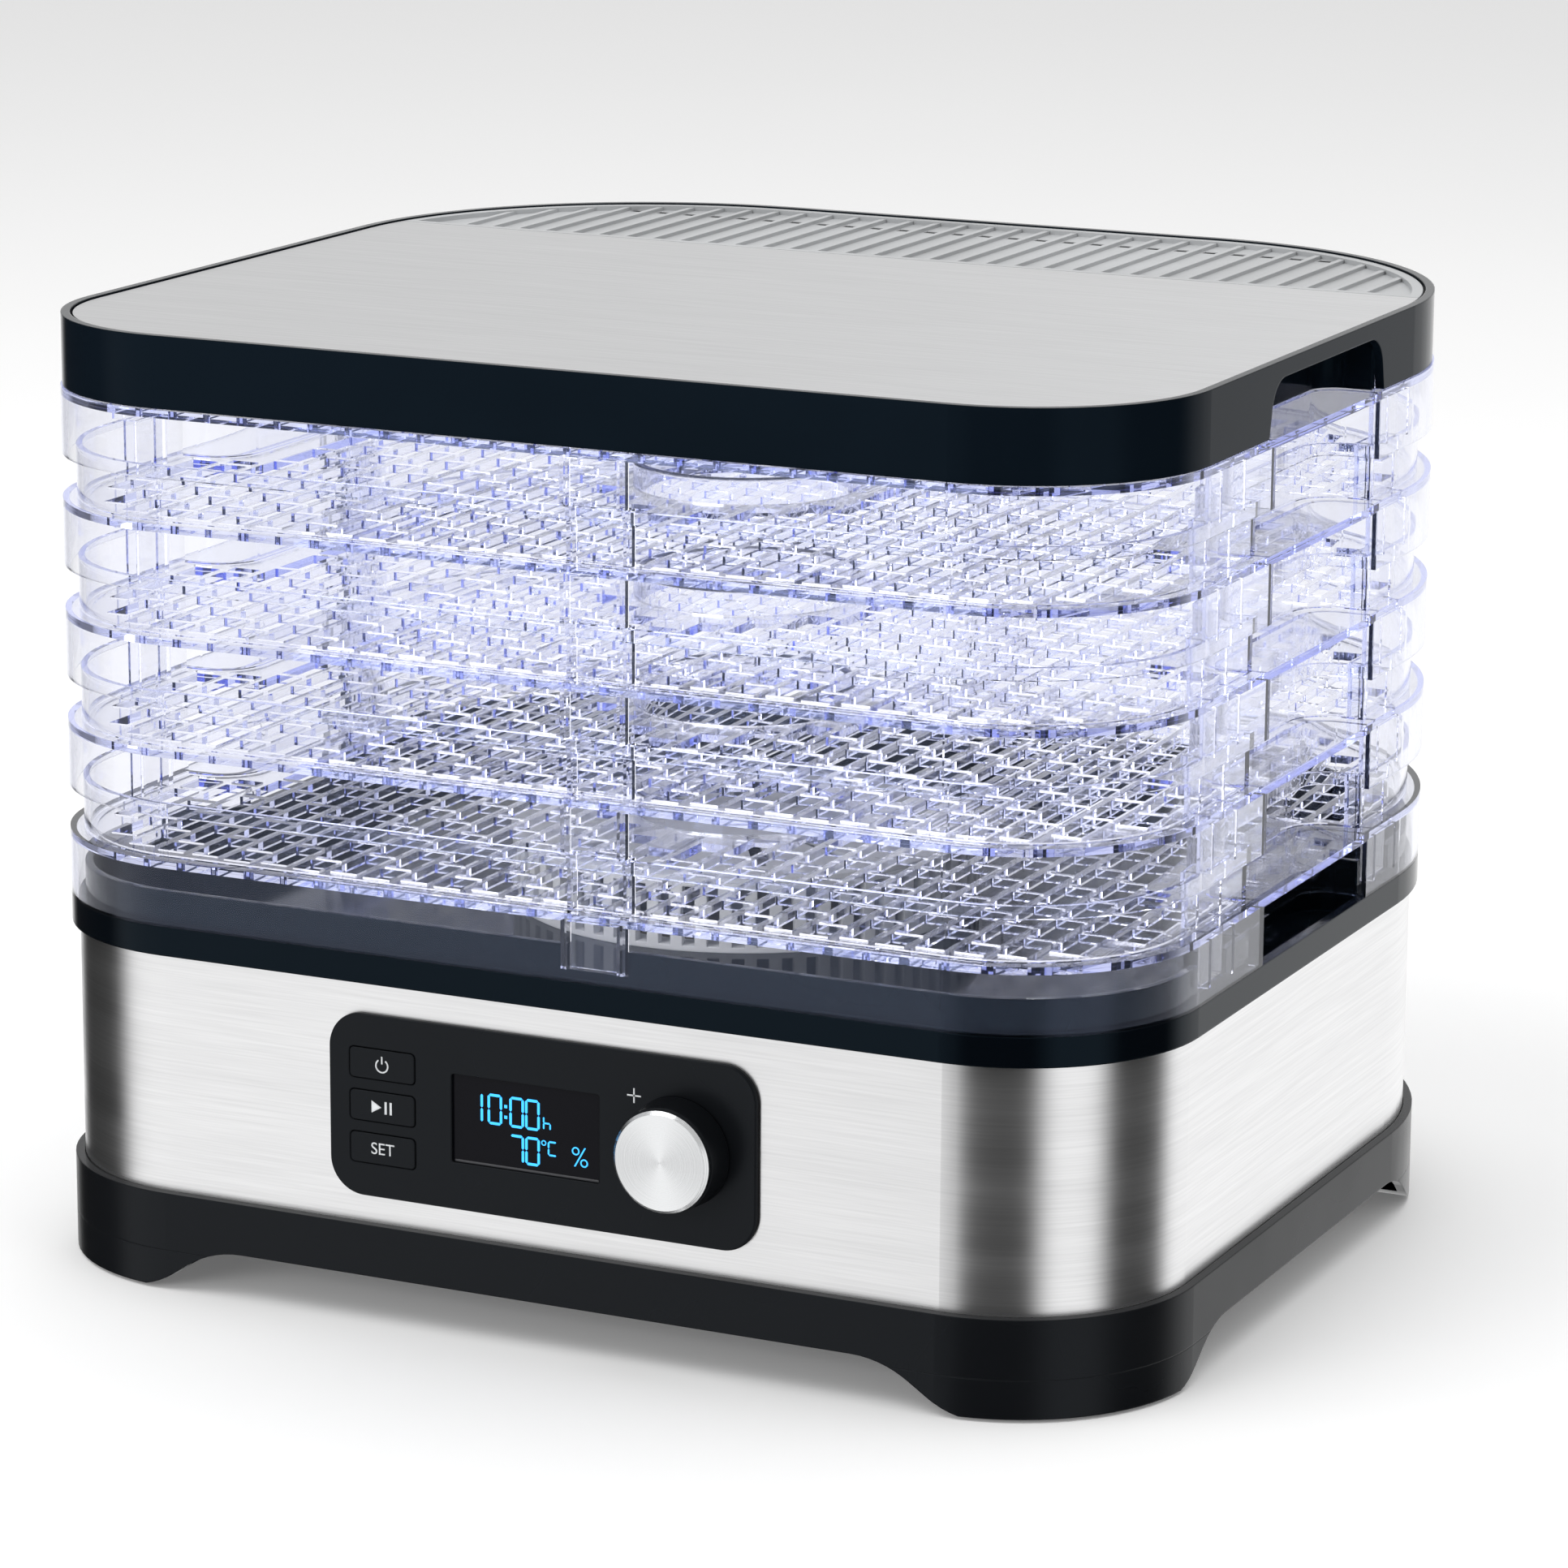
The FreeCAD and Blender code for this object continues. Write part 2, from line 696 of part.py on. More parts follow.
def make_tub():
    """Black tub under the trays: rim, ledge, notched lip, floor and the fan's opening."""
    rim, ledge = dim["rim_level"], dim["ledge_level"]
    out = -dim["tray_overhang"]
    lip = dim["wall_inset"]
    lip_in = lip + dim["lip_wall"]
    floor_top = rim + dim["tub_floor"]
    floor = prism([plan(out)], rim, floor_top)
    wall = ring(out, dim["rim_wall"], rim, ledge)
    shelf = prism([plan(dim["rim_wall"] / 2), plan(lip_in, True)], ledge - dim["rim_wall"], ledge)
    for side in (1, -1):
        x = sorted((side * (dim["lid_width"] / 2 - dim["rim_wall"]), side * dim["lid_width"] / 4))
        half = dim["grip_width"] / 2 + lip
        y = (dim["grip_centre"] - half, dim["grip_centre"] + half)
        shelf = shelf.cut(block(x, y, (ledge - dim["rim_wall"], ledge)))
    lip_top = ledge + dim["lip_rise"]
    rise = ring(lip, lip_in, rim, lip_top, True)
    seat_low = ledge + dim["skirt_drop"] + value_of(POST_STOP) - dim["post_room"]
    for x, y, turn in post_places(out + dim["tray_wall"] / 2):
        rise = rise.cut(post_seat(x, y, turn, seat_low, lip_top))
    hole = Part.makeCylinder(dim["duct_radius"], dim["tub_floor"], Vector(0, dim["air_y"], rim))
    tub = floor.cut(hole).multiFuse([wall, shelf, rise]).removeSplitter()
    solid("base_tub", tub)


def make_band():
    """Brushed steel band around the base, with its panel opening and cord hole."""
    body = new_body("steel_band")
    outline = sketch_on(body, "XY_Plane", "band_level")
    draw_rounded(outline, "lid_width - 2 * band_inset", "lid_depth - 2 * band_inset",
                 "front_radius - band_inset", "rear_radius - band_inset")
    pad(body, outline, "rim_level - band_level")
    inner = sketch_on(body, "XY_Plane", "rim_level")
    draw_rounded(inner, "lid_width - 2 * (band_inset + band_wall)",
                 "lid_depth - 2 * (band_inset + band_wall)",
                 "front_radius - band_inset - band_wall", "rear_radius - band_inset - band_wall")
    pocket(body, inner, "rim_level - band_level")
    window = sketch_on(body, "XZ_Plane", FACE, y="panel_level")
    draw_rounded(window, "panel_width - 2 * band_window_edge", "panel_height - 2 * band_window_edge",
                 "panel_corner - band_window_edge")
    pocket(body, window, "lid_depth / 4")
    cord = sketch_on(body, "XZ_Plane", f"-{FACE}", x="gland_x", y="gland_level")
    draw_circle(cord, "gland_neck + gland_gap")
    pocket(body, cord, "lid_depth / 4", True)


def arch(across, front_foot, rear_foot, lift):
    """The prism under the shell between two feet, with a smooth S at each end."""
    low, high, slope = 0.0, dim["arch_level"], dim["arch_slope"]
    start, end = front_foot, rear_foot
    bend = dim["arch_level"] * 2.2
    skirt = dim["lid_width"]
    corners = [(start - skirt, low - slope, 0), (end + skirt, low - slope, 0),
               (end + skirt, low, 0), (end, low, bend), (end - slope, high, bend),
               (start + slope, high, bend), (start, low, bend), (start - skirt, low, 0)]
    face = Part.Face(rounded_wire(corners, lift))
    return face.extrude(across)


def shell_arches():
    """The two prisms, front to back and side to side, that leave four feet."""
    width = dim["lid_width"] / 2 + dim["shell_overhang"]
    depth = dim["lid_depth"] / 2 + dim["shell_overhang"]
    long_way = 2 * depth
    front = arch(Vector(0, long_way / 2, 0), -width + dim["foot_front"], width - dim["foot_front"],
                 lambda x, z: Vector(x, -depth - 1, z))
    rear = arch(Vector(0, long_way / 2, 0), -width + dim["foot_rear"], width - dim["foot_rear"],
                lambda x, z: Vector(x, 0, z))
    sides = arch(Vector(2 * width + 2, 0, 0), -depth + dim["foot_front"],
                 depth - dim["foot_rear"], lambda y, z: Vector(-width - 1, y, z))
    return [front, rear, sides]


def make_shell():
    """Black bottom shell, and its four corner feet as the solids below the split level."""
    out = -dim["shell_overhang"]
    inside = out + dim["shell_wall"]
    low, top = dim["foot_clear"], dim["shell_top"]
    shell = prism([plan(out)], low, top)
    hollow = prism([plan(inside)], low + dim["foot_floor"], top)
    shelf_top = dim["band_level"]
    shelf = ring(inside, inside + dim["shell_shelf"], dim["arch_level"], shelf_top)
    shell = shell.cut(hollow).fuse(shelf)
    for prism_below in shell_arches():
        shell = shell.cut(prism_below)
    split, span = dim["foot_split"], dim["lid_width"]
    below = block((-span, span), (-span, span), (0, split))
    solid("base_shell", shell.cut(below).removeSplitter())
    solid("shell_feet", shell.common(below).removeSplitter())


def make_cover():
    """Bottom cover with three rings of intake holes under the fan."""
    body = new_body("bottom_cover")
    edge = "shell_wall - shell_overhang + shell_shelf"
    outline = sketch_on(body, "XY_Plane", "arch_level")
    draw_rounded(outline, f"lid_width - 2 * ({edge})", f"lid_depth - 2 * ({edge})",
                 f"front_radius - ({edge})", f"rear_radius - ({edge})")
    pad(body, outline, "cover_thick")
    intake = sketch_on(body, "XY_Plane", "arch_level + cover_thick", y="air_y")
    for ring_number in (1, 2, 3):
        holes = 6 + 6 * ring_number
        for step in range(holes):
            radius, angle = f"(intake_pitch * ({ring_number} + 0.5))", f"({360 * step / holes:.4f} deg)"
            draw_circle(intake, "intake_radius", f"{radius} * cos{angle}", f"{radius} * sin{angle}")
    pocket(body, intake, "cover_thick")


def make_pads():
    """Four rubber pads under the feet."""
    pads = []
    for index, (x, y) in enumerate(CORNERS):
        foot = "foot_front" if y < 0 else "foot_rear"
        place = {"x": f"{x} * (lid_width / 2 - {foot} * pad_place)",
                 "y": f"{y} * (lid_depth / 2 - {foot} * pad_place)"}
        pads.append(primitive("Cylinder", f"pad_{index}", place,
                              Radius="pad_radius", Height="foot_clear"))
    group("foot_pads", pads)


def make_screws():
    """Screws through the bottom cover's edge."""
    screws = []
    for index, (x, y) in enumerate(CORNERS):
        place = {"x": f"{x} * cover_screw_x", "y": f"{y} * cover_screw_y",
                 "z": "arch_level - cover_screw_head"}
        screws.append(primitive("Cylinder", f"base_screw_{index}", place,
                                Radius="screw_radius", Height="cover_screw_head"))
    group("base_screws", screws)


# ---------------------------------------------------------------- control panel

def make_panel():
    """Satin black panel with three button windows, the screen recess and the knob's hole."""
    body = new_body("control_panel")
    plate = sketch_on(body, "XZ_Plane", FACE, y="panel_level")
    draw_rounded(plate, "panel_width", "panel_height", "panel_corner")
    pad(body, plate, "panel_proud")
    tray = sketch_on(body, "XZ_Plane", FACE, y="panel_level")
    draw_rounded(tray, "panel_width - 2 * panel_step", "panel_height - 2 * panel_step",
                 "panel_corner - panel_step")
    pad(body, tray, "panel_thick - panel_proud", True)
    dress(body, "Fillet", "panel_edge", lambda p, e: p.y < -value_of(PANEL_FRONT) + 1e-4)
    for index in (-1, 0, 1):
        window = sketch_on(body, "XZ_Plane", PANEL_FRONT, "button_x",
                           f"panel_level + {index} * button_pitch")
        draw_rounded(window, "button_width + 2 * button_gap", "button_height + 2 * button_gap",
                     "button_corner + button_gap")
        pocket(body, window, "panel_thick * 2")
    recess = sketch_on(body, "XZ_Plane", PANEL_FRONT, "screen_x", "panel_level")
    draw_rounded(recess, "screen_width", "screen_height", "screen_recess")
    pocket(body, recess, "panel_thick * 2")
    shaft = sketch_on(body, "XZ_Plane", PANEL_FRONT, "knob_x", "panel_level")
    draw_circle(shaft, "shaft_radius + shaft_room")
    pocket(body, shaft, "panel_thick * 2")


def make_screen():
    """Display window behind the panel's recess, and the display module behind it."""
    window = new_body("display_window")
    rear = f"{PANEL_FRONT} - screen_recess - screen_thick"
    pane = sketch_on(window, "XZ_Plane", rear, "screen_x", "panel_level")
    draw_rounded(pane, "screen_width", "screen_height", "screen_recess")
    pad(window, pane, "screen_thick")
    module = new_body("display_module")
    back = sketch_on(module, "XZ_Plane", f"{rear} - module_thick", "screen_x", "panel_level")
    draw_rounded(back, "screen_width - screen_thick", "screen_height - screen_thick", "screen_recess / 2")
    pad(module, back, "module_thick")


def make_button(name, index):
    """A short-travel key whose face stands just proud of the panel."""
    body = new_body(name)
    rear = f"{PANEL_FRONT} - panel_thick - button_foot"
    key = sketch_on(body, "XZ_Plane", rear, "button_x", f"panel_level + {index} * button_pitch")
    draw_rounded(key, "button_width", "button_height", "button_corner")
    pad(body, key, "panel_thick + button_foot + button_proud")


def revolve(profile):
    """A turned piece about the knob's axis, from (radius, distance in front of the panel)."""
    x, y, z = dim["knob_x"], -value_of(PANEL_FRONT), dim["panel_level"]
    points = [Vector(x + radius, y - out, z) for radius, out in profile]
    face = Part.Face(Part.makePolygon(points + points[:1]))
    return face.revolve(Vector(x, y, z), Vector(0, 1, 0), 360)


def make_knob():
    """Rotary knob: tapered black body on its shaft, and a spun aluminium cap."""
    base = dim["knob_gap"]
    front = base + dim["knob_length"]
    edge, shaft = dim["knob_edge"], dim["shaft_radius"]
    wide, narrow = dim["knob_radius"], dim["knob_front_radius"]
    body = revolve([(0, base), (wide - edge, base), (wide, base + edge), (narrow, front), (0, front)])
    stem = revolve([(0, base), (shaft, base), (shaft, -dim["shaft_length"]), (0, -dim["shaft_length"])])
    solid("knob_body", body.fuse(stem).removeSplitter())
    cap, top, chamfer = dim["cap_radius"], front + dim["cap_thick"], dim["cap_chamfer"]
    solid("knob_cap", revolve([(0, front), (cap, front), (cap, top - chamfer), (cap - chamfer, top),
                               (0, top)]))


def make_controls():
    """Board behind the panel, its three tactile switches and the rotary encoder."""
    board_y = -value_of(PANEL_FRONT) + dim["panel_thick"] + dim["board_back"]
    x, z = dim["knob_x"], dim["panel_level"]
    half, tall = dim["panel_width"] / 2 - dim["board_edge"], dim["board_half_height"]
    solid("control_board", block((-half, half), (board_y, board_y + dim["board_thick"]),
                                 (z - tall, z + tall)))
    side, deep = dim["encoder_side"] / 2, dim["encoder_depth"]
    encoder = block((x - side, x + side), (board_y - deep, board_y), (z - side, z + side))
    bore = Part.makeCylinder(dim["shaft_radius"] + dim["shaft_gap"], deep,
                             Vector(x, board_y - deep, z), Vector(0, 1, 0))
    solid("encoder", encoder.cut(bore))
    switches = []
    for index in (-1, 0, 1):
        place = {"x": "button_x - switch_side / 2",
                 "y": f"panel_thick + board_back - switch_depth - {PANEL_FRONT}",
                 "z": f"panel_level + {index} * button_pitch - switch_side / 2"}
        switches.append(primitive("Box", f"switch_{index + 1}", place, Length="switch_side",
                                  Width="switch_depth", Height="switch_side"))
    group("tact_switches", switches)


# ---------------------------------------------------------------- fan, heater and outlet

def make_outlet():
    """Round vented outlet on the tub floor: finned wall and slotted cap."""
    low = dim["rim_level"] + dim["tub_floor"]
    high = low + dim["cage_height"]
    radius, wall, y = dim["cage_radius"], dim["cage_wall"], dim["air_y"]
    cage = tube(radius, radius - wall, low, high, 0, y)
    pitch = 2 * math.pi * radius / dim["fin_count"]
    gaps = []
    edge, skin = dim["cage_edge"], dim["cap_skin"]
    for index in range(int(dim["fin_count"])):
        gap = block((radius - 2 * wall, radius + wall), (-pitch / 4, pitch / 4), (low + edge, high - edge))
        gaps.append(turned(gap, 360 * index / dim["fin_count"], 0, y))
    base = tube(radius, dim["duct_radius"], low, low + skin, 0, y)
    solid("outlet_cage", cage.cut(Part.makeCompound(gaps)).fuse(base).removeSplitter())
    cap = Part.makeCylinder(radius, skin, Vector(0, y, high))
    half = dim["cap_slot_width"] / 2
    slots = []
    for index in range(int(dim["cap_slot_count"])):
        slot = block((radius * 0.35, radius * 0.8), (-half, half), (high, high + skin))
        slots.append(turned(slot, 360 * index / dim["cap_slot_count"], 0, y))
    solid("outlet_cap", cap.cut(Part.makeCompound(slots)))


def make_duct():
    """Duct between the fan and the outlet, with the motor's spider at its foot."""
    y, radius = dim["air_y"], dim["duct_radius"]
    duct = tube(radius + dim["duct_wall"], radius, dim["duct_level"], dim["rim_level"], 0, y)
    solid("fan_duct", duct)
    thick, motor = dim["bracket_thick"], dim["motor_radius"]
    high = dim["fan_level"] - thick
    low = high - thick
    hoop = tube(motor + thick, motor, low, high, 0, y)
    arms = [turned(block((motor + thick / 2, radius), (-thick, thick), (low, high)),
                   90 + 120 * index, 0, y) for index in range(3)]
    inside = Part.makeCylinder(radius, thick, Vector(0, y, low))
    solid("motor_bracket", hoop.multiFuse(arms).common(inside).removeSplitter())


def make_motor():
    """Shaded-pole motor under the fan, and the axle that carries the fan."""
    y, top, height = dim["air_y"], dim["fan_level"] - dim["fan_clear"], dim["motor_height"]
    motor = Part.makeCylinder(dim["motor_radius"], height, Vector(0, y, top - height))
    bore_low = top - dim["axle_depth"]
    bore = Part.makeCylinder(dim["axle_radius"] + dim["axle_gap"], dim["axle_depth"],
                             Vector(0, y, bore_low))
    solid("fan_motor", motor.cut(bore))
    axle_low = bore_low + dim["axle_end_gap"]
    axle = Part.makeCylinder(dim["axle_radius"], dim["fan_level"] + dim["fan_height"] - axle_low,
                             Vector(0, y, axle_low))
    solid("fan_axle", axle)


def fan_blade(index):
    """One pitched blade from the hub to the tip."""
    half, skin = dim["blade_width"] / 2, dim["blade_thick"] / 2
    root = dim["hub_radius"] - dim["blade_thick"]
    blade = block((0, dim["fan_radius"] - root), (-half, half), (-skin, skin))
    blade.rotate(Vector(), Vector(1, 0, 0), dim["blade_pitch"])
    blade.translate(Vector(root, 0, dim["fan_level"] + dim["fan_height"] / 2))
    return turned(blade, 360 * index / dim["blade_count"])


def make_fan():
    """Axial fan on the axle."""
    level, height = dim["fan_level"], dim["fan_height"]
    hub = tube(dim["hub_radius"], dim["axle_radius"], level, level + height)
    blades = [fan_blade(index) for index in range(int(dim["blade_count"]))]
    fan = hub.multiFuse(blades)
    fan = fan.common(tube(dim["fan_radius"], dim["axle_radius"], level, level + height))
    fan.translate(Vector(0, dim["air_y"], 0))
    solid("fan_impeller", fan.removeSplitter())


def make_heater():
    """Heating coils on a cross of mica boards, with a fuse and a sensor."""
    air, level, radius = Vector(0, dim["air_y"], 0), dim["heater_level"], dim["duct_radius"]
    half, skin = dim["mica_height"] / 2, dim["mica_thick"] / 2
    span = (level - half, level + half)
    cross = block((-radius, radius), (-skin, skin), span).fuse(block((-skin, skin), (-radius, radius), span))
    cross = cross.common(Part.makeCylinder(radius, 2 * half, Vector(0, 0, level - half)))
    coil = Part.makeCompound([
        Part.makeTorus(dim["coil_radius"] + turn * dim["coil_pitch"], dim["coil_wire"], Vector(0, 0, level))
        for turn in range(3)])
    solid("heater_boards", cross.cut(coil).removeSplitter(), air)
    solid("heater_coils", coil, air)
    beside = skin + dim["fuse_radius"] + dim["fuse_radius"] / 2
    above = level + dim["coil_wire"] + dim["fuse_radius"] + dim["fuse_radius"] / 2
    fuse = Part.makeCylinder(dim["fuse_radius"], dim["fuse_length"],
                             Vector(dim["coil_pitch"], beside, above), Vector(1, 0, 0))
    solid("thermal_fuse", fuse, air)
    low = dim["rim_level"] + dim["tub_floor"]
    sensor = Part.makeCylinder(dim["sensor_radius"], dim["sensor_length"],
                               Vector(0, dim["coil_radius"] + dim["coil_pitch"], low))
    solid("temperature_sensor", sensor, air)


def make_power():
    """Power board on four pillars on the bottom cover."""
    low = dim["arch_level"] + dim["cover_thick"]
    high = low + dim["power_rise"]
    near = Vector(dim["power_x"], dim["power_y"], 0)
    board = block((0, dim["power_width"]), (0, dim["power_depth"]), (high, high + dim["board_thick"]))
    solid("power_board", board, near)
    edge = 2 * dim["pillar_radius"]
    pillars = [Part.makeCylinder(dim["pillar_radius"], dim["power_rise"], Vector(x, y, low))
               for x in (edge, dim["power_width"] - edge) for y in (edge, dim["power_depth"] - edge)]
    solid("board_pillars", Part.makeCompound(pillars), near)


def make_gland():
    """The gland that the mains lead enters by; it reaches as far back as the knob reaches forward."""
    face, tip, axis = value_of(FACE), value_of(KNOB_FRONT), Vector(0, 1, 0)
    x, z = dim["gland_x"], dim["gland_level"]
    wide, neck, inside = dim["gland_radius"], dim["gland_neck"], dim["gland_inside"]
    nose = Part.makeCone(wide, neck, tip - face - dim["gland_taper"],
                         Vector(x, face + dim["gland_taper"], z), axis)
    flange = Part.makeCylinder(wide, dim["gland_taper"], Vector(x, face, z), axis)
    stem = Part.makeCylinder(neck, inside, Vector(x, face - inside, z), axis)
    bore = Part.makeCylinder(dim["gland_bore"], tip - face + inside, Vector(x, face - inside, z), axis)
    solid("cord_gland", flange.multiFuse([nose, stem]).cut(bore).removeSplitter())


def check_and_write():
    """Stop on any failed object or bad shape, then write one STEP file per sub-part."""
    doc.recompute()
    for thing in doc.Objects:
        if {"Invalid", "Error"} & set(thing.State):
            raise RuntimeError(f"{thing.Label} failed: {thing.State}")
    os.makedirs("parts", exist_ok=True)
    for name, piece in PIECES.items():
        shape = piece.Shape
        if shape.isNull() or not shape.isValid():
            raise RuntimeError(f"{name} has a bad shape")
        shape.exportStep(f"parts/{name}.step")
        box = shape.BoundBox
        print(f"{name:20s} {len(shape.Solids)} {shape.Volume / 1000:9.2f} cm3  "
              f"x {box.XMin:7.1f} {box.XMax:7.1f}  y {box.YMin:7.1f} {box.YMax:7.1f}  "
              f"z {box.ZMin:6.1f} {box.ZMax:6.1f}")


def main():
    """Build every sub-part, check it and write it."""
    make_trays()
    make_lid()
    make_tub()
    make_band()
    make_shell()
    make_cover()
    make_pads()
    make_screws()
    make_panel()
    make_screen()
    for index, name in enumerate(("set_button", "play_button", "power_button"), start=-1):
        make_button(name, index)
    make_knob()
    make_controls()
    make_outlet()
    make_duct()
    make_motor()
    make_fan()
    make_heater()
    make_power()
    make_gland()
    check_and_write()


main()
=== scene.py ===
import json
import math
import bmesh
import bpy
from mathutils import Matrix, Vector


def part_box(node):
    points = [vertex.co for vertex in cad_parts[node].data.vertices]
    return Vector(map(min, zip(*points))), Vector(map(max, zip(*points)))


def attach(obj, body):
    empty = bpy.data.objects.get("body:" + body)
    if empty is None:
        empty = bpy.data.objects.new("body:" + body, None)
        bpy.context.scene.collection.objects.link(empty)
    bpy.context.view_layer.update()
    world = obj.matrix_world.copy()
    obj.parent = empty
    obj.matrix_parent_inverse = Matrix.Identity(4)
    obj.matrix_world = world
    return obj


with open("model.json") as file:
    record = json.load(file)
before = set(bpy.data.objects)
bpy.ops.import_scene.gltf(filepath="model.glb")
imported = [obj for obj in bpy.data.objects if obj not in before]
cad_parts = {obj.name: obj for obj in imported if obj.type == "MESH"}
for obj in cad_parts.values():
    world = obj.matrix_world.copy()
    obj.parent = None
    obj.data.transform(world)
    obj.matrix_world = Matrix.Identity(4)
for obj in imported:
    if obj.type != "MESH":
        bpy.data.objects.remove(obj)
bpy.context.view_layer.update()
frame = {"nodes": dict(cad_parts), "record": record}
nodes = frame["nodes"]


# ---------------------------------------------------------------- camera, floor and light

CAMERA_PLACE = Vector((0.7232, -1.5277, 0.5365))
CAMERA_YAW = math.radians(25.33)
CAMERA_PITCH = math.radians(13.58)
CAMERA_ROLL = math.radians(0.36)
CAMERA_LENS = 134.9


def make_camera():
    """A long lens a little right of the front corner, looking slightly down."""
    data = bpy.data.cameras.new("camera")
    data.lens = CAMERA_LENS
    data.sensor_width = 36.0
    data.clip_start = 0.05
    data.clip_end = 120.0
    camera = bpy.data.objects.new("camera", data)
    turn = Matrix.Rotation(CAMERA_YAW, 4, "Z") @ Matrix.Rotation(math.pi / 2 - CAMERA_PITCH, 4, "X")
    turn = turn @ Matrix.Rotation(CAMERA_ROLL, 4, "Z")
    camera.matrix_world = Matrix.Translation(CAMERA_PLACE) @ turn
    bpy.context.scene.collection.objects.link(camera)
    bpy.context.scene.camera = camera


def link(obj):
    """Put a new object into the scene."""
    bpy.context.scene.collection.objects.link(obj)
    return obj


def mesh_object(name, vertices, faces):
    """A mesh object from plain vertices and faces."""
    mesh = bpy.data.meshes.new(name)
    mesh.from_pydata(vertices, [], faces)
    mesh.update()
    return link(bpy.data.objects.new(name, mesh))


def area_light(name, place, target, size, power):
    """A rectangular soft box that points at a target and stays out of the picture."""
    data = bpy.data.lights.new(name, "AREA")
    data.shape = "RECTANGLE"
    data.size, data.size_y = size
    data.energy = power
    light = link(bpy.data.objects.new(name, data))
    light.location = place
    light.rotation_euler = (Vector(target) - Vector(place)).to_track_quat("-Z", "Y").to_euler()
    light.visible_camera = False
    return light


CEILING_TONE = 0.62
BACKDROP_TONE = 0.86
# Height of a direction, as its z, where the studio's walls start to fade and where the ceiling is full.
WALL_END, CEILING_START = 0.10, 0.42
FLOOR_HALF = 40.0
# White cards that stand round the studio: the azimuth of each card's middle and its width, in degrees
# from -Y towards +X. Each fades into the dark room over a soft edge.
CARDS = ((-40, 30), (60, 20), (180, 80))
CARD_EDGE = 20
CARD_TONE, ROOM_TONE = 1.1, 0.03


def card_stops():
    """Azimuths round the studio, in order, each with the tone of its card or of the room."""
    stops = []
    for middle, width in CARDS:
        half = width / 2
        for offset, tone in ((-half - CARD_EDGE, ROOM_TONE), (-half, CARD_TONE), (half, CARD_TONE),
                             (half + CARD_EDGE, ROOM_TONE)):
            stops.append(((middle + offset + 180) % 360 - 180, tone))
    return sorted(stops)


def grey(tone):
    """A neutral colour."""
    return (tone, tone, tone, 1.0)


def direction_factors(tree):
    """Azimuth of a direction from 0 to 1, and how far it has risen from the walls to the ceiling."""
    make, wire = tree.nodes.new, tree.links.new
    coords, split = make("ShaderNodeTexCoord"), make("ShaderNodeSeparateXYZ")
    back, azimuth = make("ShaderNodeMath"), make("ShaderNodeMath")
    back.operation, azimuth.operation = "MULTIPLY", "ARCTAN2"
    back.inputs[1].default_value = -1.0
    turn, rise = make("ShaderNodeMapRange"), make("ShaderNodeMapRange")
    turn.inputs["From Min"].default_value = -math.pi
    turn.inputs["From Max"].default_value = math.pi
    rise.inputs["From Min"].default_value = WALL_END
    rise.inputs["From Max"].default_value = CEILING_START
    wire(coords.outputs["Generated"], split.inputs[0])
    wire(split.outputs["Y"], back.inputs[0])
    wire(split.outputs["X"], azimuth.inputs[0])
    wire(back.outputs[0], azimuth.inputs[1])
    wire(azimuth.outputs[0], turn.inputs["Value"])
    wire(split.outputs["Z"], rise.inputs["Value"])
    return turn.outputs["Result"], rise.outputs["Result"]


def wall_ramp(tree):
    """The cards and the dark room between them as one ramp round the object."""
    ramp = tree.nodes.new("ShaderNodeValToRGB")
    ramp.color_ramp.interpolation = "EASE"
    elements = ramp.color_ramp.elements
    elements.remove(elements[-1])
    for index, (degrees, tone) in enumerate(card_stops()):
        place = degrees / 360 + 0.5
        element = elements[0] if index == 0 else elements.new(place)
        element.position = place
        element.color = grey(tone)
    return ramp


def mix_towards(tree, factor, source, tone):
    """A colour that turns into a grey tone as a factor goes from 0 to 1."""
    mix = tree.nodes.new("ShaderNodeMix")
    mix.data_type = "RGBA"
    mix.inputs["B"].default_value = grey(tone)
    tree.links.new(factor, mix.inputs["Factor"])
    tree.links.new(source, mix.inputs["A"])
    return mix.outputs["Result"]


def make_world():
    """A dark studio to reflect, with white cards and a pale ceiling, behind a plain backdrop."""
    world = bpy.data.worlds.new("studio")
    bpy.context.scene.world = world
    world.use_nodes = True
    tree = world.node_tree
    turn, rise = direction_factors(tree)
    walls = wall_ramp(tree)
    tree.links.new(turn, walls.inputs["Fac"])
    room = mix_towards(tree, rise, walls.outputs["Color"], CEILING_TONE)
    rays = tree.nodes.new("ShaderNodeLightPath")
    seen = mix_towards(tree, rays.outputs["Is Camera Ray"], room, BACKDROP_TONE)
    tree.links.new(seen, tree.nodes["Background"].inputs["Color"])


def make_stage():
    """Pale floor that reflections don't see, the studio and three soft boxes."""
    half = FLOOR_HALF
    corners = [(-half, -half, 0), (half, -half, 0), (half, half, 0), (-half, half, 0)]
    floor = mesh_object("floor", corners, [(0, 1, 2, 3)])
    floor.data.materials.append(floor_material())
    floor.visible_glossy = False
    make_world()
    area_light("key_box", (-0.9, -1.2, 2.2), (0, 0, 0.1), (1.6, 1.2), 17)
    area_light("top_box", (0.2, 0.5, 2.4), (0, 0, 0.2), (2.2, 1.6), 21)
    front_box = area_light("front_box", (-0.5, -2.0, 0.75), (0, 0, 0.12), (1.2, 0.5), 9)
    front_box.visible_glossy = False


# ---------------------------------------------------------------- materials

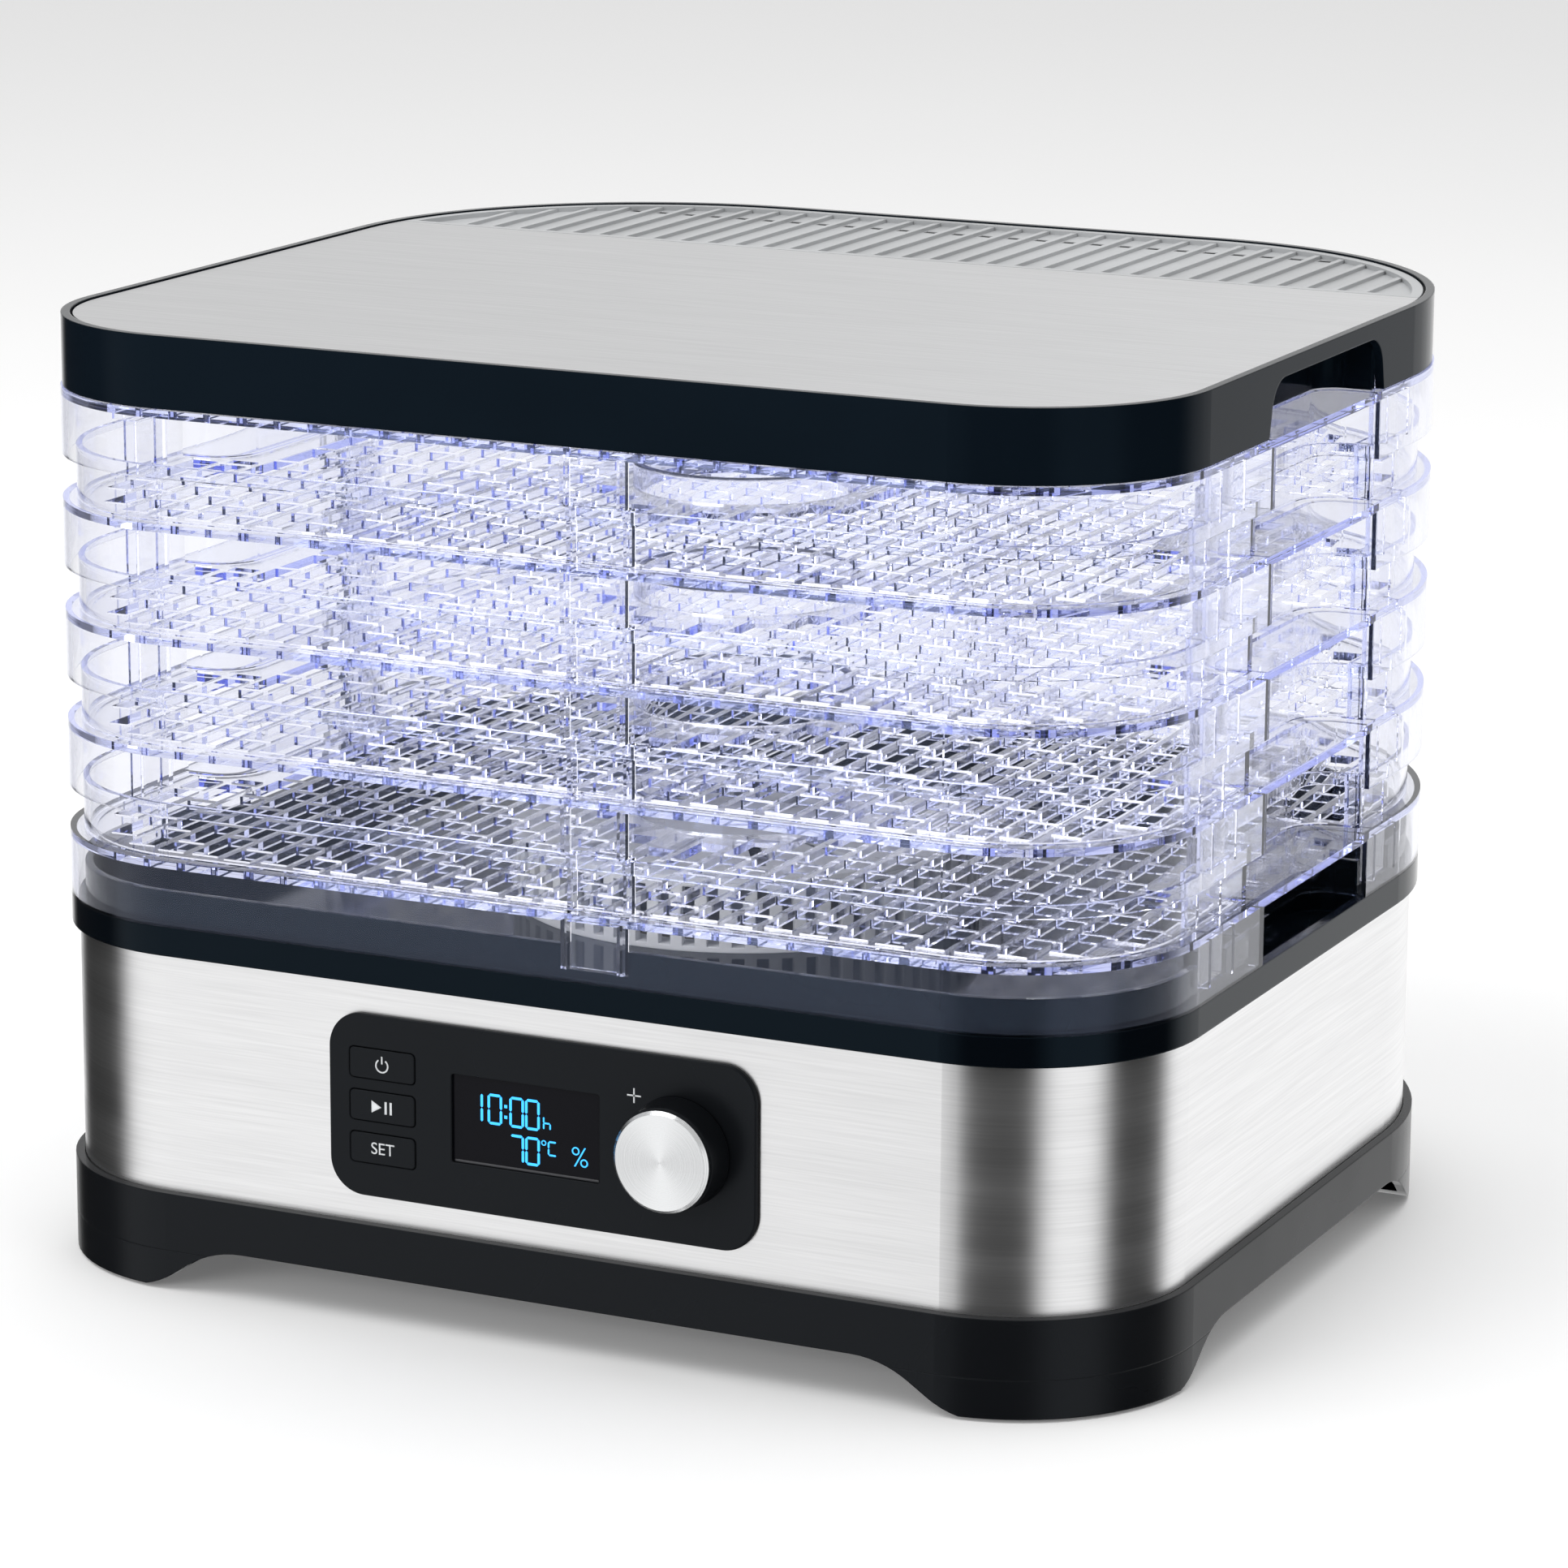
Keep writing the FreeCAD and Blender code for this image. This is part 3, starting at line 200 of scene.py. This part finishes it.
class Shader:
    """A principled material with short calls for the nodes that the finishes share."""

    def __init__(self, name, color, rough, **sockets):
        self.material = bpy.data.materials.new(name)
        self.material.use_nodes = True
        self.tree = self.material.node_tree
        self.main = self.tree.nodes["Principled BSDF"]
        self.main.inputs["Base Color"].default_value = (*color, 1.0)
        self.main.inputs["Roughness"].default_value = rough
        for socket, value in sockets.items():
            self.main.inputs[socket.replace("_", " ")].default_value = value
        self.coords = self.tree.nodes.new("ShaderNodeTexCoord").outputs["Object"]

    def wire(self, source, target):
        """Join an output to an input."""
        self.tree.links.new(source, target)

    def noise(self, scale, detail=3.0, stretch=(1.0, 1.0, 1.0)):
        """Noise over the object's own coordinates, stretched along an axis by a low factor."""
        mapping = self.tree.nodes.new("ShaderNodeMapping")
        mapping.inputs["Scale"].default_value = stretch
        texture = self.tree.nodes.new("ShaderNodeTexNoise")
        texture.inputs["Scale"].default_value = scale
        texture.inputs["Detail"].default_value = detail
        self.wire(self.coords, mapping.inputs["Vector"])
        self.wire(mapping.outputs["Vector"], texture.inputs["Vector"])
        return texture.outputs["Fac"]

    def ranged(self, factor, low, high, start=0.3, end=0.7):
        """A factor turned into a number between low and high."""
        node = self.tree.nodes.new("ShaderNodeMapRange")
        for socket, value in (("From Min", start), ("From Max", end), ("To Min", low), ("To Max", high)):
            node.inputs[socket].default_value = value
        self.wire(factor, node.inputs["Value"])
        return node.outputs["Result"]

    def tint(self, factor, low, high):
        """Base colour that varies between two colours."""
        node = self.tree.nodes.new("ShaderNodeMix")
        node.data_type = "RGBA"
        node.inputs["A"].default_value = (*low, 1.0)
        node.inputs["B"].default_value = (*high, 1.0)
        self.wire(factor, node.inputs["Factor"])
        self.wire(node.outputs["Result"], self.main.inputs["Base Color"])

    def rough(self, factor, low, high):
        """Roughness that varies between two values."""
        self.wire(self.ranged(factor, low, high), self.main.inputs["Roughness"])

    def bump(self, factor, strength, distance, edge=0.0):
        """Surface relief from a factor, on edges that catch light over a small radius."""
        node = self.tree.nodes.new("ShaderNodeBump")
        if edge:
            rounding = self.tree.nodes.new("ShaderNodeBevel")
            rounding.samples = 4
            rounding.inputs["Radius"].default_value = edge
            self.wire(rounding.outputs["Normal"], node.inputs["Normal"])
        node.inputs["Strength"].default_value = strength
        node.inputs["Distance"].default_value = distance
        self.wire(factor, node.inputs["Height"])
        self.wire(node.outputs["Normal"], self.main.inputs["Normal"])


def moulded(name, color, rough, grain=900.0, depth=0.00002, spread=0.06, vary=0.12, edge=0.0006,
            **sockets):
    """Injection-moulded plastic: fine grain, slight gloss change and slight colour change."""
    shader = Shader(name, color, rough, **sockets)
    broad = shader.noise(14.0)
    fine = shader.noise(grain, 2.0)
    shader.tint(shader.ranged(broad, 0.0, 1.0), tuple(c * (1 - vary) for c in color),
                tuple(c * (1 + vary) for c in color))
    shader.rough(broad, rough - spread, rough + spread)
    shader.bump(fine, 0.25, depth, edge)
    return shader.material


def brushed(name, color, stretch, tangent, rough=(0.24, 0.36), depth=0.000012):
    """Brushed metal: hair-fine lines along one direction, glossier along the lines."""
    shader = Shader(name, color, rough[0], Metallic=1.0, Anisotropic=0.75)
    lines = shader.noise(260.0, 6.0, stretch)
    broad = shader.noise(9.0, 2.0, tuple(max(s, 0.15) for s in stretch))
    dark = tuple(c * 0.93 for c in color)
    light = tuple(min(c * 1.05, 1.0) for c in color)
    shader.tint(shader.ranged(lines, 0.0, 1.0), dark, light)
    shader.rough(broad, *rough)
    shader.bump(lines, 0.35, depth, 0.0002)
    axis = shader.tree.nodes.new("ShaderNodeCombineXYZ")
    for index, amount in enumerate(tangent):
        axis.inputs[index].default_value = amount
    shader.wire(axis.outputs[0], shader.main.inputs["Tangent"])
    return shader.material


def spun(name, color, centre, axis):
    """Turned metal: rings about a centre, with the cone of light that turning leaves."""
    shader = Shader(name, color, 0.22, Metallic=1.0, Anisotropic=0.85)
    make = shader.tree.nodes.new
    offset = make("ShaderNodeVectorMath")
    offset.operation = "SUBTRACT"
    offset.inputs[1].default_value = centre
    flat = make("ShaderNodeVectorMath")
    flat.operation = "MULTIPLY"
    flat.inputs[1].default_value = tuple(0.0 if a else 1.0 for a in axis)
    length = make("ShaderNodeVectorMath")
    length.operation = "LENGTH"
    rings = make("ShaderNodeTexNoise")
    rings.noise_dimensions = "1D"
    rings.inputs["Scale"].default_value = 5200.0
    rings.inputs["Detail"].default_value = 3.0
    shader.wire(shader.coords, offset.inputs[0])
    shader.wire(offset.outputs[0], flat.inputs[0])
    shader.wire(flat.outputs[0], length.inputs[0])
    shader.wire(length.outputs["Value"], rings.inputs["W"])
    shader.tint(rings.outputs["Fac"], tuple(c * 0.88 for c in color), color)
    shader.rough(rings.outputs["Fac"], 0.18, 0.3)
    shader.bump(rings.outputs["Fac"], 0.3, 0.00001, 0.0001)
    shader.wire(flat.outputs[0], shader.main.inputs["Tangent"])
    return shader.material


def clear_plastic(name):
    """Clear moulded plastic, violet-blue where light travels far inside it, with a faint painted glow of
    its own that makes it look hazy.
    """
    shader = Shader(name, (0.975, 0.976, 0.982), 0.01, Transmission_Weight=1.0, IOR=1.46,
                    Specular_Tint=(0.36, 0.42, 0.60, 1.0))
    flow = shader.noise(40.0, 2.0)
    shader.rough(flow, 0.0, 0.02)
    shader.bump(flow, 0.05, 0.00005)
    soak = shader.tree.nodes.new("ShaderNodeVolumeAbsorption")
    soak.inputs["Color"].default_value = (0.24, 0.34, 0.97, 1.0)
    soak.inputs["Density"].default_value = 22.0
    # Painted glow: the plastic's body gives off pale blue light of its own, in place of light scattered in
    # hazy plastic.
    painted_glow = shader.tree.nodes.new("ShaderNodeEmission")
    painted_glow.inputs["Color"].default_value = (0.80, 0.88, 1.0, 1.0)
    painted_glow.inputs["Strength"].default_value = 0.3
    both = shader.tree.nodes.new("ShaderNodeAddShader")
    shader.wire(soak.outputs[0], both.inputs[0])
    shader.wire(painted_glow.outputs[0], both.inputs[1])
    output = shader.tree.nodes["Material Output"]
    shader.wire(both.outputs[0], output.inputs["Volume"])
    return shader.material


def floor_material():
    """Matt pale floor with a faint glow of its own, so that it reads as lit paper."""
    shader = Shader("pale_floor", (0.93, 0.93, 0.93), 0.9, Specular_IOR_Level=0.1, Emission_Strength=0.12,
                    Emission_Color=(1.0, 1.0, 1.0, 1.0))
    cloud = shader.noise(1.5)
    shader.tint(shader.ranged(cloud, 0.0, 1.0), (0.925, 0.925, 0.925), (0.935, 0.935, 0.935))
    return shader.material


def glowing(name, color, strength):
    """Lit display segments."""
    shader = Shader(name, color, 0.5)
    shader.main.inputs["Emission Color"].default_value = (*color, 1.0)
    flicker = shader.noise(600.0)
    shader.wire(shader.ranged(flicker, strength * 0.92, strength), shader.main.inputs["Emission Strength"])
    return shader.material


def make_materials():
    """One material for each slot of the record."""
    knob_low, knob_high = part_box("knob_cap")
    knob_middle = (knob_low + knob_high) / 2
    return {
        "black_gloss": moulded("black_gloss", (0.0015, 0.0025, 0.004), 0.10, 700.0, 0.000005, 0.03,
                               Specular_IOR_Level=0.13, Specular_Tint=(0.42, 0.72, 1.0, 1.0)),
        "lid_gloss": moulded("lid_gloss", (0.0035, 0.0065, 0.0105), 0.10, 700.0, 0.000005, 0.03,
                             Specular_IOR_Level=0.04, Specular_Tint=(0.42, 0.72, 1.0, 1.0)),
        "black_satin": moulded("black_satin", (0.0055, 0.0062, 0.0075), 0.27, 1400.0, 0.00003,
                               Specular_IOR_Level=0.14, Specular_Tint=(0.85, 0.92, 1.0, 1.0)),
        "brushed_steel": brushed("band_steel", (0.80, 0.80, 0.805), (0.10, 0.10, 6.0), (0, 0, 1)),
        "plate_steel": brushed("plate_steel", (0.66, 0.663, 0.67), (0.10, 4.0, 4.0), (0, 1, 0),
                               rough=(0.30, 0.32)),
        "light_plastic": moulded("light_plastic", (0.44, 0.45, 0.46), 0.38, 1100.0),
        # A lighter copy of the grey plastic for the outlet cage and cap: its own light grey, made lighter
        # as painted light for the inside of the tub.
        "outlet_grey_painted_light": moulded("outlet_grey_painted_light", (0.80, 0.81, 0.83), 0.30, 1100.0),
        "clear_plastic": clear_plastic("clear_plastic"),
        "screen_glass": moulded("screen_glass", (0.004, 0.004, 0.006), 0.08, 300.0, 0.000004, 0.02,
                                Specular_IOR_Level=0.08),
        "spun_aluminium": spun("spun_aluminium", (0.86, 0.87, 0.88), tuple(knob_middle), (0, 1, 0)),
        # Lighter dark grey for the strip along the display window's bottom edge, which is a painted
        # highlight.
        "painted_highlight_grey": moulded("painted_highlight_grey", (0.055, 0.056, 0.062), 0.3, 1400.0),
        # Black matt stuff for the sheet under the vent, which is painted shade in the vent's slots.
        "vent_shade_black": moulded("vent_shade_black", (0.004, 0.004, 0.0045), 0.9, 2600.0, 0.0002,
                                Specular_IOR_Level=0.1),
        "rubber": moulded("rubber", (0.022, 0.022, 0.023), 0.8, 1600.0, 0.00006),
        "zinc_screw": brushed("zinc_screw", (0.62, 0.62, 0.60), (4.0, 4.0, 1.0), (1, 0, 0)),
        "board_green": moulded("board_green", (0.02, 0.13, 0.055), 0.35, 500.0, spread=0.05, vary=0.3),
        "component_black": moulded("component_black", (0.02, 0.02, 0.021), 0.5, 1200.0),
        "sheet_steel": brushed("sheet_steel", (0.58, 0.59, 0.60), (1.0, 1.0, 5.0), (0, 0, 1)),
        "motor_steel": moulded("motor_steel", (0.16, 0.17, 0.18), 0.42, 800.0, 0.00005, Metallic=0.6),
        "fan_plastic": moulded("fan_plastic", (0.03, 0.03, 0.032), 0.42, 1300.0),
        "mica": moulded("mica", (0.50, 0.42, 0.28), 0.55, 300.0, 0.00008, 0.08, 0.25),
        "heater_wire": brushed("heater_wire", (0.34, 0.31, 0.29), (1.0, 1.0, 1.0), (0, 0, 1),
                               (0.35, 0.5)),
        "icon_white": moulded("icon_white", (0.78, 0.80, 0.82), 0.5, 900.0),
        "digit_blue": glowing("digit_blue", (0.03, 0.36, 0.85), 1.3),
    }


# ---------------------------------------------------------------- shapes

SEAM = 0.00003


def open_seam(obj):
    """Draw a clear piece in by a hair, so that light doesn't stick between two touching faces."""
    seam = obj.modifiers.new("seam", "DISPLACE")
    seam.direction = "NORMAL"
    seam.mid_level = 0.0
    seam.strength = -SEAM


# CAD nodes whose finish differs from the common one of their slot. The outlet cage and cap get a lighter
# copy of the grey plastic, whose extra lightness is painted light inside the tub.
OWN_FINISH = {"lid_top_plate": "plate_steel", "lid_frame": "lid_gloss", "outlet_cage": "outlet_grey_painted_light",
              "outlet_cap": "outlet_grey_painted_light"}


def finish_nodes(materials):
    """Give every CAD node its material, and let the lamps shine through the clear trays."""
    slots = {entry["node"]: entry["material_slot"] for entry in frame["record"]["subparts"]}
    for name, obj in nodes.items():
        obj.data.materials.clear()
        obj.data.materials.append(materials[OWN_FINISH.get(name, slots[name])])
        obj.visible_shadow = slots[name] != "clear_plastic"
        if name.startswith("tray_") and not name.endswith("_frame"):
            open_seam(obj)


INK = 0.00008


def slab(name, outlines, front, material, body):
    """A piece as thin as ink, facing -Y from (x, z) outlines, proud of a face at y = front."""
    mesh = bpy.data.meshes.new(name)
    work = bmesh.new()
    for outline in outlines:
        corners = [work.verts.new((x, front, z)) for x, z in outline]
        work.faces.new(corners)
    bmesh.ops.recalc_face_normals(work, faces=work.faces)
    pushed = bmesh.ops.extrude_face_region(work, geom=list(work.faces))
    moved = [v for v in pushed["geom"] if isinstance(v, bmesh.types.BMVert)]
    bmesh.ops.translate(work, verts=moved, vec=(0, -INK, 0))
    bmesh.ops.recalc_face_normals(work, faces=work.faces)
    work.to_mesh(mesh)
    work.free()
    piece = link(bpy.data.objects.new(name, mesh))
    piece.data.materials.append(material)
    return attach(piece, body)


# ---------------------------------------------------------------- the display

SEGMENTS = {"0": "abcdef", "1": "bc", "7": "abc", "h": "cefg", "C": "adef"}
DIGIT_WIDTH = 0.0038
DIGIT_STROKE = 0.00075
# Figures of the time and of the temperature, each with its distance from the window's left edge.
TIME_FIGURES = (("1", 0.0053), ("0", 0.0113), ("0", 0.0181), ("0", 0.0230))
HEAT_FIGURES = (("7", 0.0181), ("0", 0.0230))
TIME_HEIGHT, TIME_DROP = 0.0081, 0.0129
HEAT_HEIGHT, HEAT_DROP = 0.0075, 0.0231
UNIT_PLACE = 0.0284


def segment_outlines(symbol, left, base, width, height, stroke):
    """The lit bars of one seven-segment symbol as long hexagons."""
    half = height / 2
    gap = stroke * 0.12
    ends = {"a": ((0, height), (width, height)), "b": ((width, height), (width, half)),
            "c": ((width, half), (width, 0)), "d": ((width, 0), (0, 0)),
            "e": ((0, 0), (0, half)), "f": ((0, half), (0, height)), "g": ((0, half), (width, half))}
    outlines = []
    for letter in SEGMENTS[symbol]:
        start, end = (Vector(p) for p in ends[letter])
        along = (end - start).normalized()
        across = Vector((-along.y, along.x)) * stroke / 2
        inner = along * stroke / 2
        start, end = start + along * gap, end - along * gap
        shape = [start, start + inner + across, end - inner + across, end, end - inner - across,
                 start + inner - across]
        outlines.append([(left + p.x, base + p.y) for p in shape])
    return outlines


def ring_outlines(x, z, radius, stroke, start=0.0, end=360.0, steps=24):
    """A flat ring, or part of one, as quads."""
    outlines = []
    for step in range(steps):
        a, b = (math.radians(start + (end - start) * (step + k) / steps) for k in (0, 1))
        outlines.append([(x + r * math.sin(t), z + r * math.cos(t))
                         for r, t in ((radius, a), (radius, b), (radius - stroke, b),
                                      (radius - stroke, a))])
    return outlines


def bar_outline(x, z, width, height):
    """An upright rectangle about a point."""
    return [(x - width / 2, z - height / 2), (x + width / 2, z - height / 2),
            (x + width / 2, z + height / 2), (x - width / 2, z + height / 2)]


def percent_outlines(x, z):
    """A percent sign: two rings and a slanted bar."""
    slope, rise, half_stroke = 0.0016, 0.0028, 0.00024
    marks = ring_outlines(x - 0.0013, z + 0.0016, 0.0012, 0.0004, steps=16)
    marks += ring_outlines(x + 0.0013, z - 0.0016, 0.0012, 0.0004, steps=16)
    marks.append([(x - slope - half_stroke, z - rise), (x - slope + half_stroke, z - rise),
                  (x + slope + half_stroke, z + rise), (x + slope - half_stroke, z + rise)])
    return marks


def figure_outlines(figures, left, base, height):
    """A row of lit figures that stand on one line."""
    marks = []
    for symbol, offset in figures:
        marks += segment_outlines(symbol, left + offset, base, DIGIT_WIDTH, height, DIGIT_STROKE)
    return marks


def time_outlines(left, base):
    """Ten hours: four figures, a colon and a small h."""
    dot = 0.0009
    marks = figure_outlines(TIME_FIGURES, left, base, TIME_HEIGHT)
    for level in (0.28, 0.66):
        marks.append(bar_outline(left + 0.0166, base + TIME_HEIGHT * level, dot, dot))
    return marks + segment_outlines("h", left + UNIT_PLACE, base + 0.0004, 0.0020, 0.0036, 0.00045)


def heat_outlines(left, base):
    """Seventy degrees: two figures, a degree ring and a small C."""
    degree = 0.0008
    marks = figure_outlines(HEAT_FIGURES, left, base, HEAT_HEIGHT)
    marks += ring_outlines(left + UNIT_PLACE, base + HEAT_HEIGHT - degree, degree, 0.0003, steps=12)
    return marks + segment_outlines("C", left + 0.0299, base + 0.0034, 0.0024, 0.0038, 0.0005)


def make_display(materials):
    """Time, temperature and percent sign, lit just in front of the dark window, over a painted highlight
    along its sill.
    """
    low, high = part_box("display_window")
    left, top, front = low.x, high.z, low.y
    heat_base = top - HEAT_DROP
    marks = time_outlines(left, top - TIME_DROP)
    marks += heat_outlines(left, heat_base)
    marks += percent_outlines(left + 0.0396, heat_base + 0.0041)
    slab("display_digits", marks, front, materials["digit_blue"], "base")
    # A lighter strip along the window's bottom edge: a painted highlight on its sill.
    sill = bar_outline((low.x + high.x) / 2, low.z + 0.0005, high.x - low.x - 0.0012, 0.0007)
    slab("window_sill_highlight", [sill], front, materials["painted_highlight_grey"], "base")


# ---------------------------------------------------------------- the painted shade under the vent

SLOT_PITCH = 0.0093
SLOT_COUNT = 26
SLOT_ROW_INSET = 0.0166
PAD_HALF = (0.0026, 0.0014)
PAD_CORNER = 0.0011
STRIP_HALF = (0.119, 0.006)
STRIP_CORNER = 0.005


def rounded_corners(low, high, corner, steps=6):
    """The corner points of a rounded rectangle between two (x, y) corners, anticlockwise."""
    centres = ((high[0] - corner, high[1] - corner, 0), (low[0] + corner, high[1] - corner, 90),
               (low[0] + corner, low[1] + corner, 180), (high[0] - corner, low[1] + corner, 270))
    angles = [(x, y, math.radians(start + 90 * step / steps))
              for x, y, start in centres for step in range(steps + 1)]
    return [(x + corner * math.cos(t), y + corner * math.sin(t)) for x, y, t in angles]


def prism_mesh(name, parts):
    """One mesh of upright prisms, each from an (x, y) outline, a bottom and a top."""
    points, faces = [], []
    for outline, low, high in parts:
        first, count = len(points), len(outline)
        points += [(x, y, z) for z in (low, high) for x, y in outline]
        faces.append(tuple(first + i for i in reversed(range(count))))
        faces.append(tuple(first + count + i for i in range(count)))
        faces += [(first + i, first + (i + 1) % count, first + (i + 1) % count + count, first + i + count)
                  for i in range(count)]
    return mesh_object(name, points, faces)


def add_painted_vent_shade(materials):
    """Dark strip under the vent, pressed up into each of its air slots: painted shade that makes the slots
    and the recess look black.
    """
    vent_low, vent_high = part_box("lid_vent")
    row = vent_high.y - SLOT_ROW_INSET
    bottom, seat, face = vent_low.z - 0.0011, vent_low.z - 0.0002, vent_low.z + 0.0010

    def outline(x, half, corner):
        """A rounded rectangle on the row of slots."""
        return rounded_corners((x - half[0], row - half[1]), (x + half[0], row + half[1]), corner)

    parts = [(outline(0.0, STRIP_HALF, STRIP_CORNER), bottom, seat)]
    for index in range(SLOT_COUNT):
        x = (index + 0.5 - SLOT_COUNT / 2) * SLOT_PITCH
        parts.append((outline(x, PAD_HALF, PAD_CORNER), seat, face))
    # This sheet is painted shade: dark stuff that makes the slots and the recess under them look black.
    strip = prism_mesh("vent_painted_shade", parts)
    strip.data.materials.append(materials["vent_shade_black"])
    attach(strip, "lid")


# ---------------------------------------------------------------- marks on the panel

MARK_STROKE = 0.00045
MARK_HEIGHT = 0.0036


def make_text(name, words, x, z, front, height, material, body):
    """Plain lettering, turned to face -Y."""
    curve = bpy.data.curves.new(name, "FONT")
    curve.body = words
    curve.size = height * 1.35
    curve.align_x = "CENTER"
    curve.align_y = "CENTER"
    curve.extrude = INK / 2
    text = link(bpy.data.objects.new(name, curve))
    text.location = (x, front - INK / 2, z)
    text.rotation_euler = (math.pi / 2, 0, 0)
    text.data.materials.append(material)
    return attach(text, body)


def face_middle(node):
    """The middle of a node's front face as x, y, z."""
    low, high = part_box(node)
    return (low.x + high.x) / 2, low.y, (low.z + high.z) / 2


def make_key_marks(white):
    """A power sign, a play and pause sign and the word SET, each on its key."""
    x, front, z = face_middle("power_button")
    power = ring_outlines(x, z - 0.0002, 0.0021, MARK_STROKE, 35, 325)
    power.append(bar_outline(x, z + 0.0014, MARK_STROKE, 0.0022))
    slab("power_mark", power, front, white, "power_key")
    x, front, z = face_middle("play_button")
    play = [[(x - 0.0034, z - MARK_HEIGHT / 2), (x - 0.0003, z), (x - 0.0034, z + MARK_HEIGHT / 2)]]
    play += [bar_outline(x + offset, z, 0.0007, MARK_HEIGHT) for offset in (0.0011, 0.0027)]
    slab("play_mark", play, front, white, "play_key")
    x, front, z = face_middle("set_button")
    make_text("set_mark", "SET", x, z, front, MARK_HEIGHT, white, "set_key")


def make_plus_mark(white):
    """A plus on the panel, up and to the left of the knob."""
    knob_x, _, knob_z = face_middle("knob_cap")
    x, z, span = knob_x - 0.0138, knob_z + 0.0140, 0.0042
    plus = [bar_outline(x, z, span, MARK_STROKE), bar_outline(x, z, MARK_STROKE, span)]
    slab("plus_mark", plus, face_middle("control_panel")[1], white, "base")


# ---------------------------------------------------------------- the scene

def set_render_paths():
    """Enough bounces to see through five clear trays, and plain colour handling."""
    scene = bpy.context.scene
    scene.cycles.max_bounces = 28
    scene.cycles.transmission_bounces = 24
    scene.cycles.transparent_max_bounces = 16
    scene.cycles.glossy_bounces = 12
    scene.view_settings.view_transform = "Standard"


def main():
    """The stage, then the CAD nodes' finishes, then the thin pieces that CAD leaves out, with a painted
    highlight on the display window's sill and a dark sheet of painted shade under the vent.
    """
    make_camera()
    make_stage()
    set_render_paths()
    materials = make_materials()
    finish_nodes(materials)
    make_display(materials)
    make_key_marks(materials["icon_white"])
    make_plus_mark(materials["icon_white"])
    add_painted_vent_shade(materials)


main()
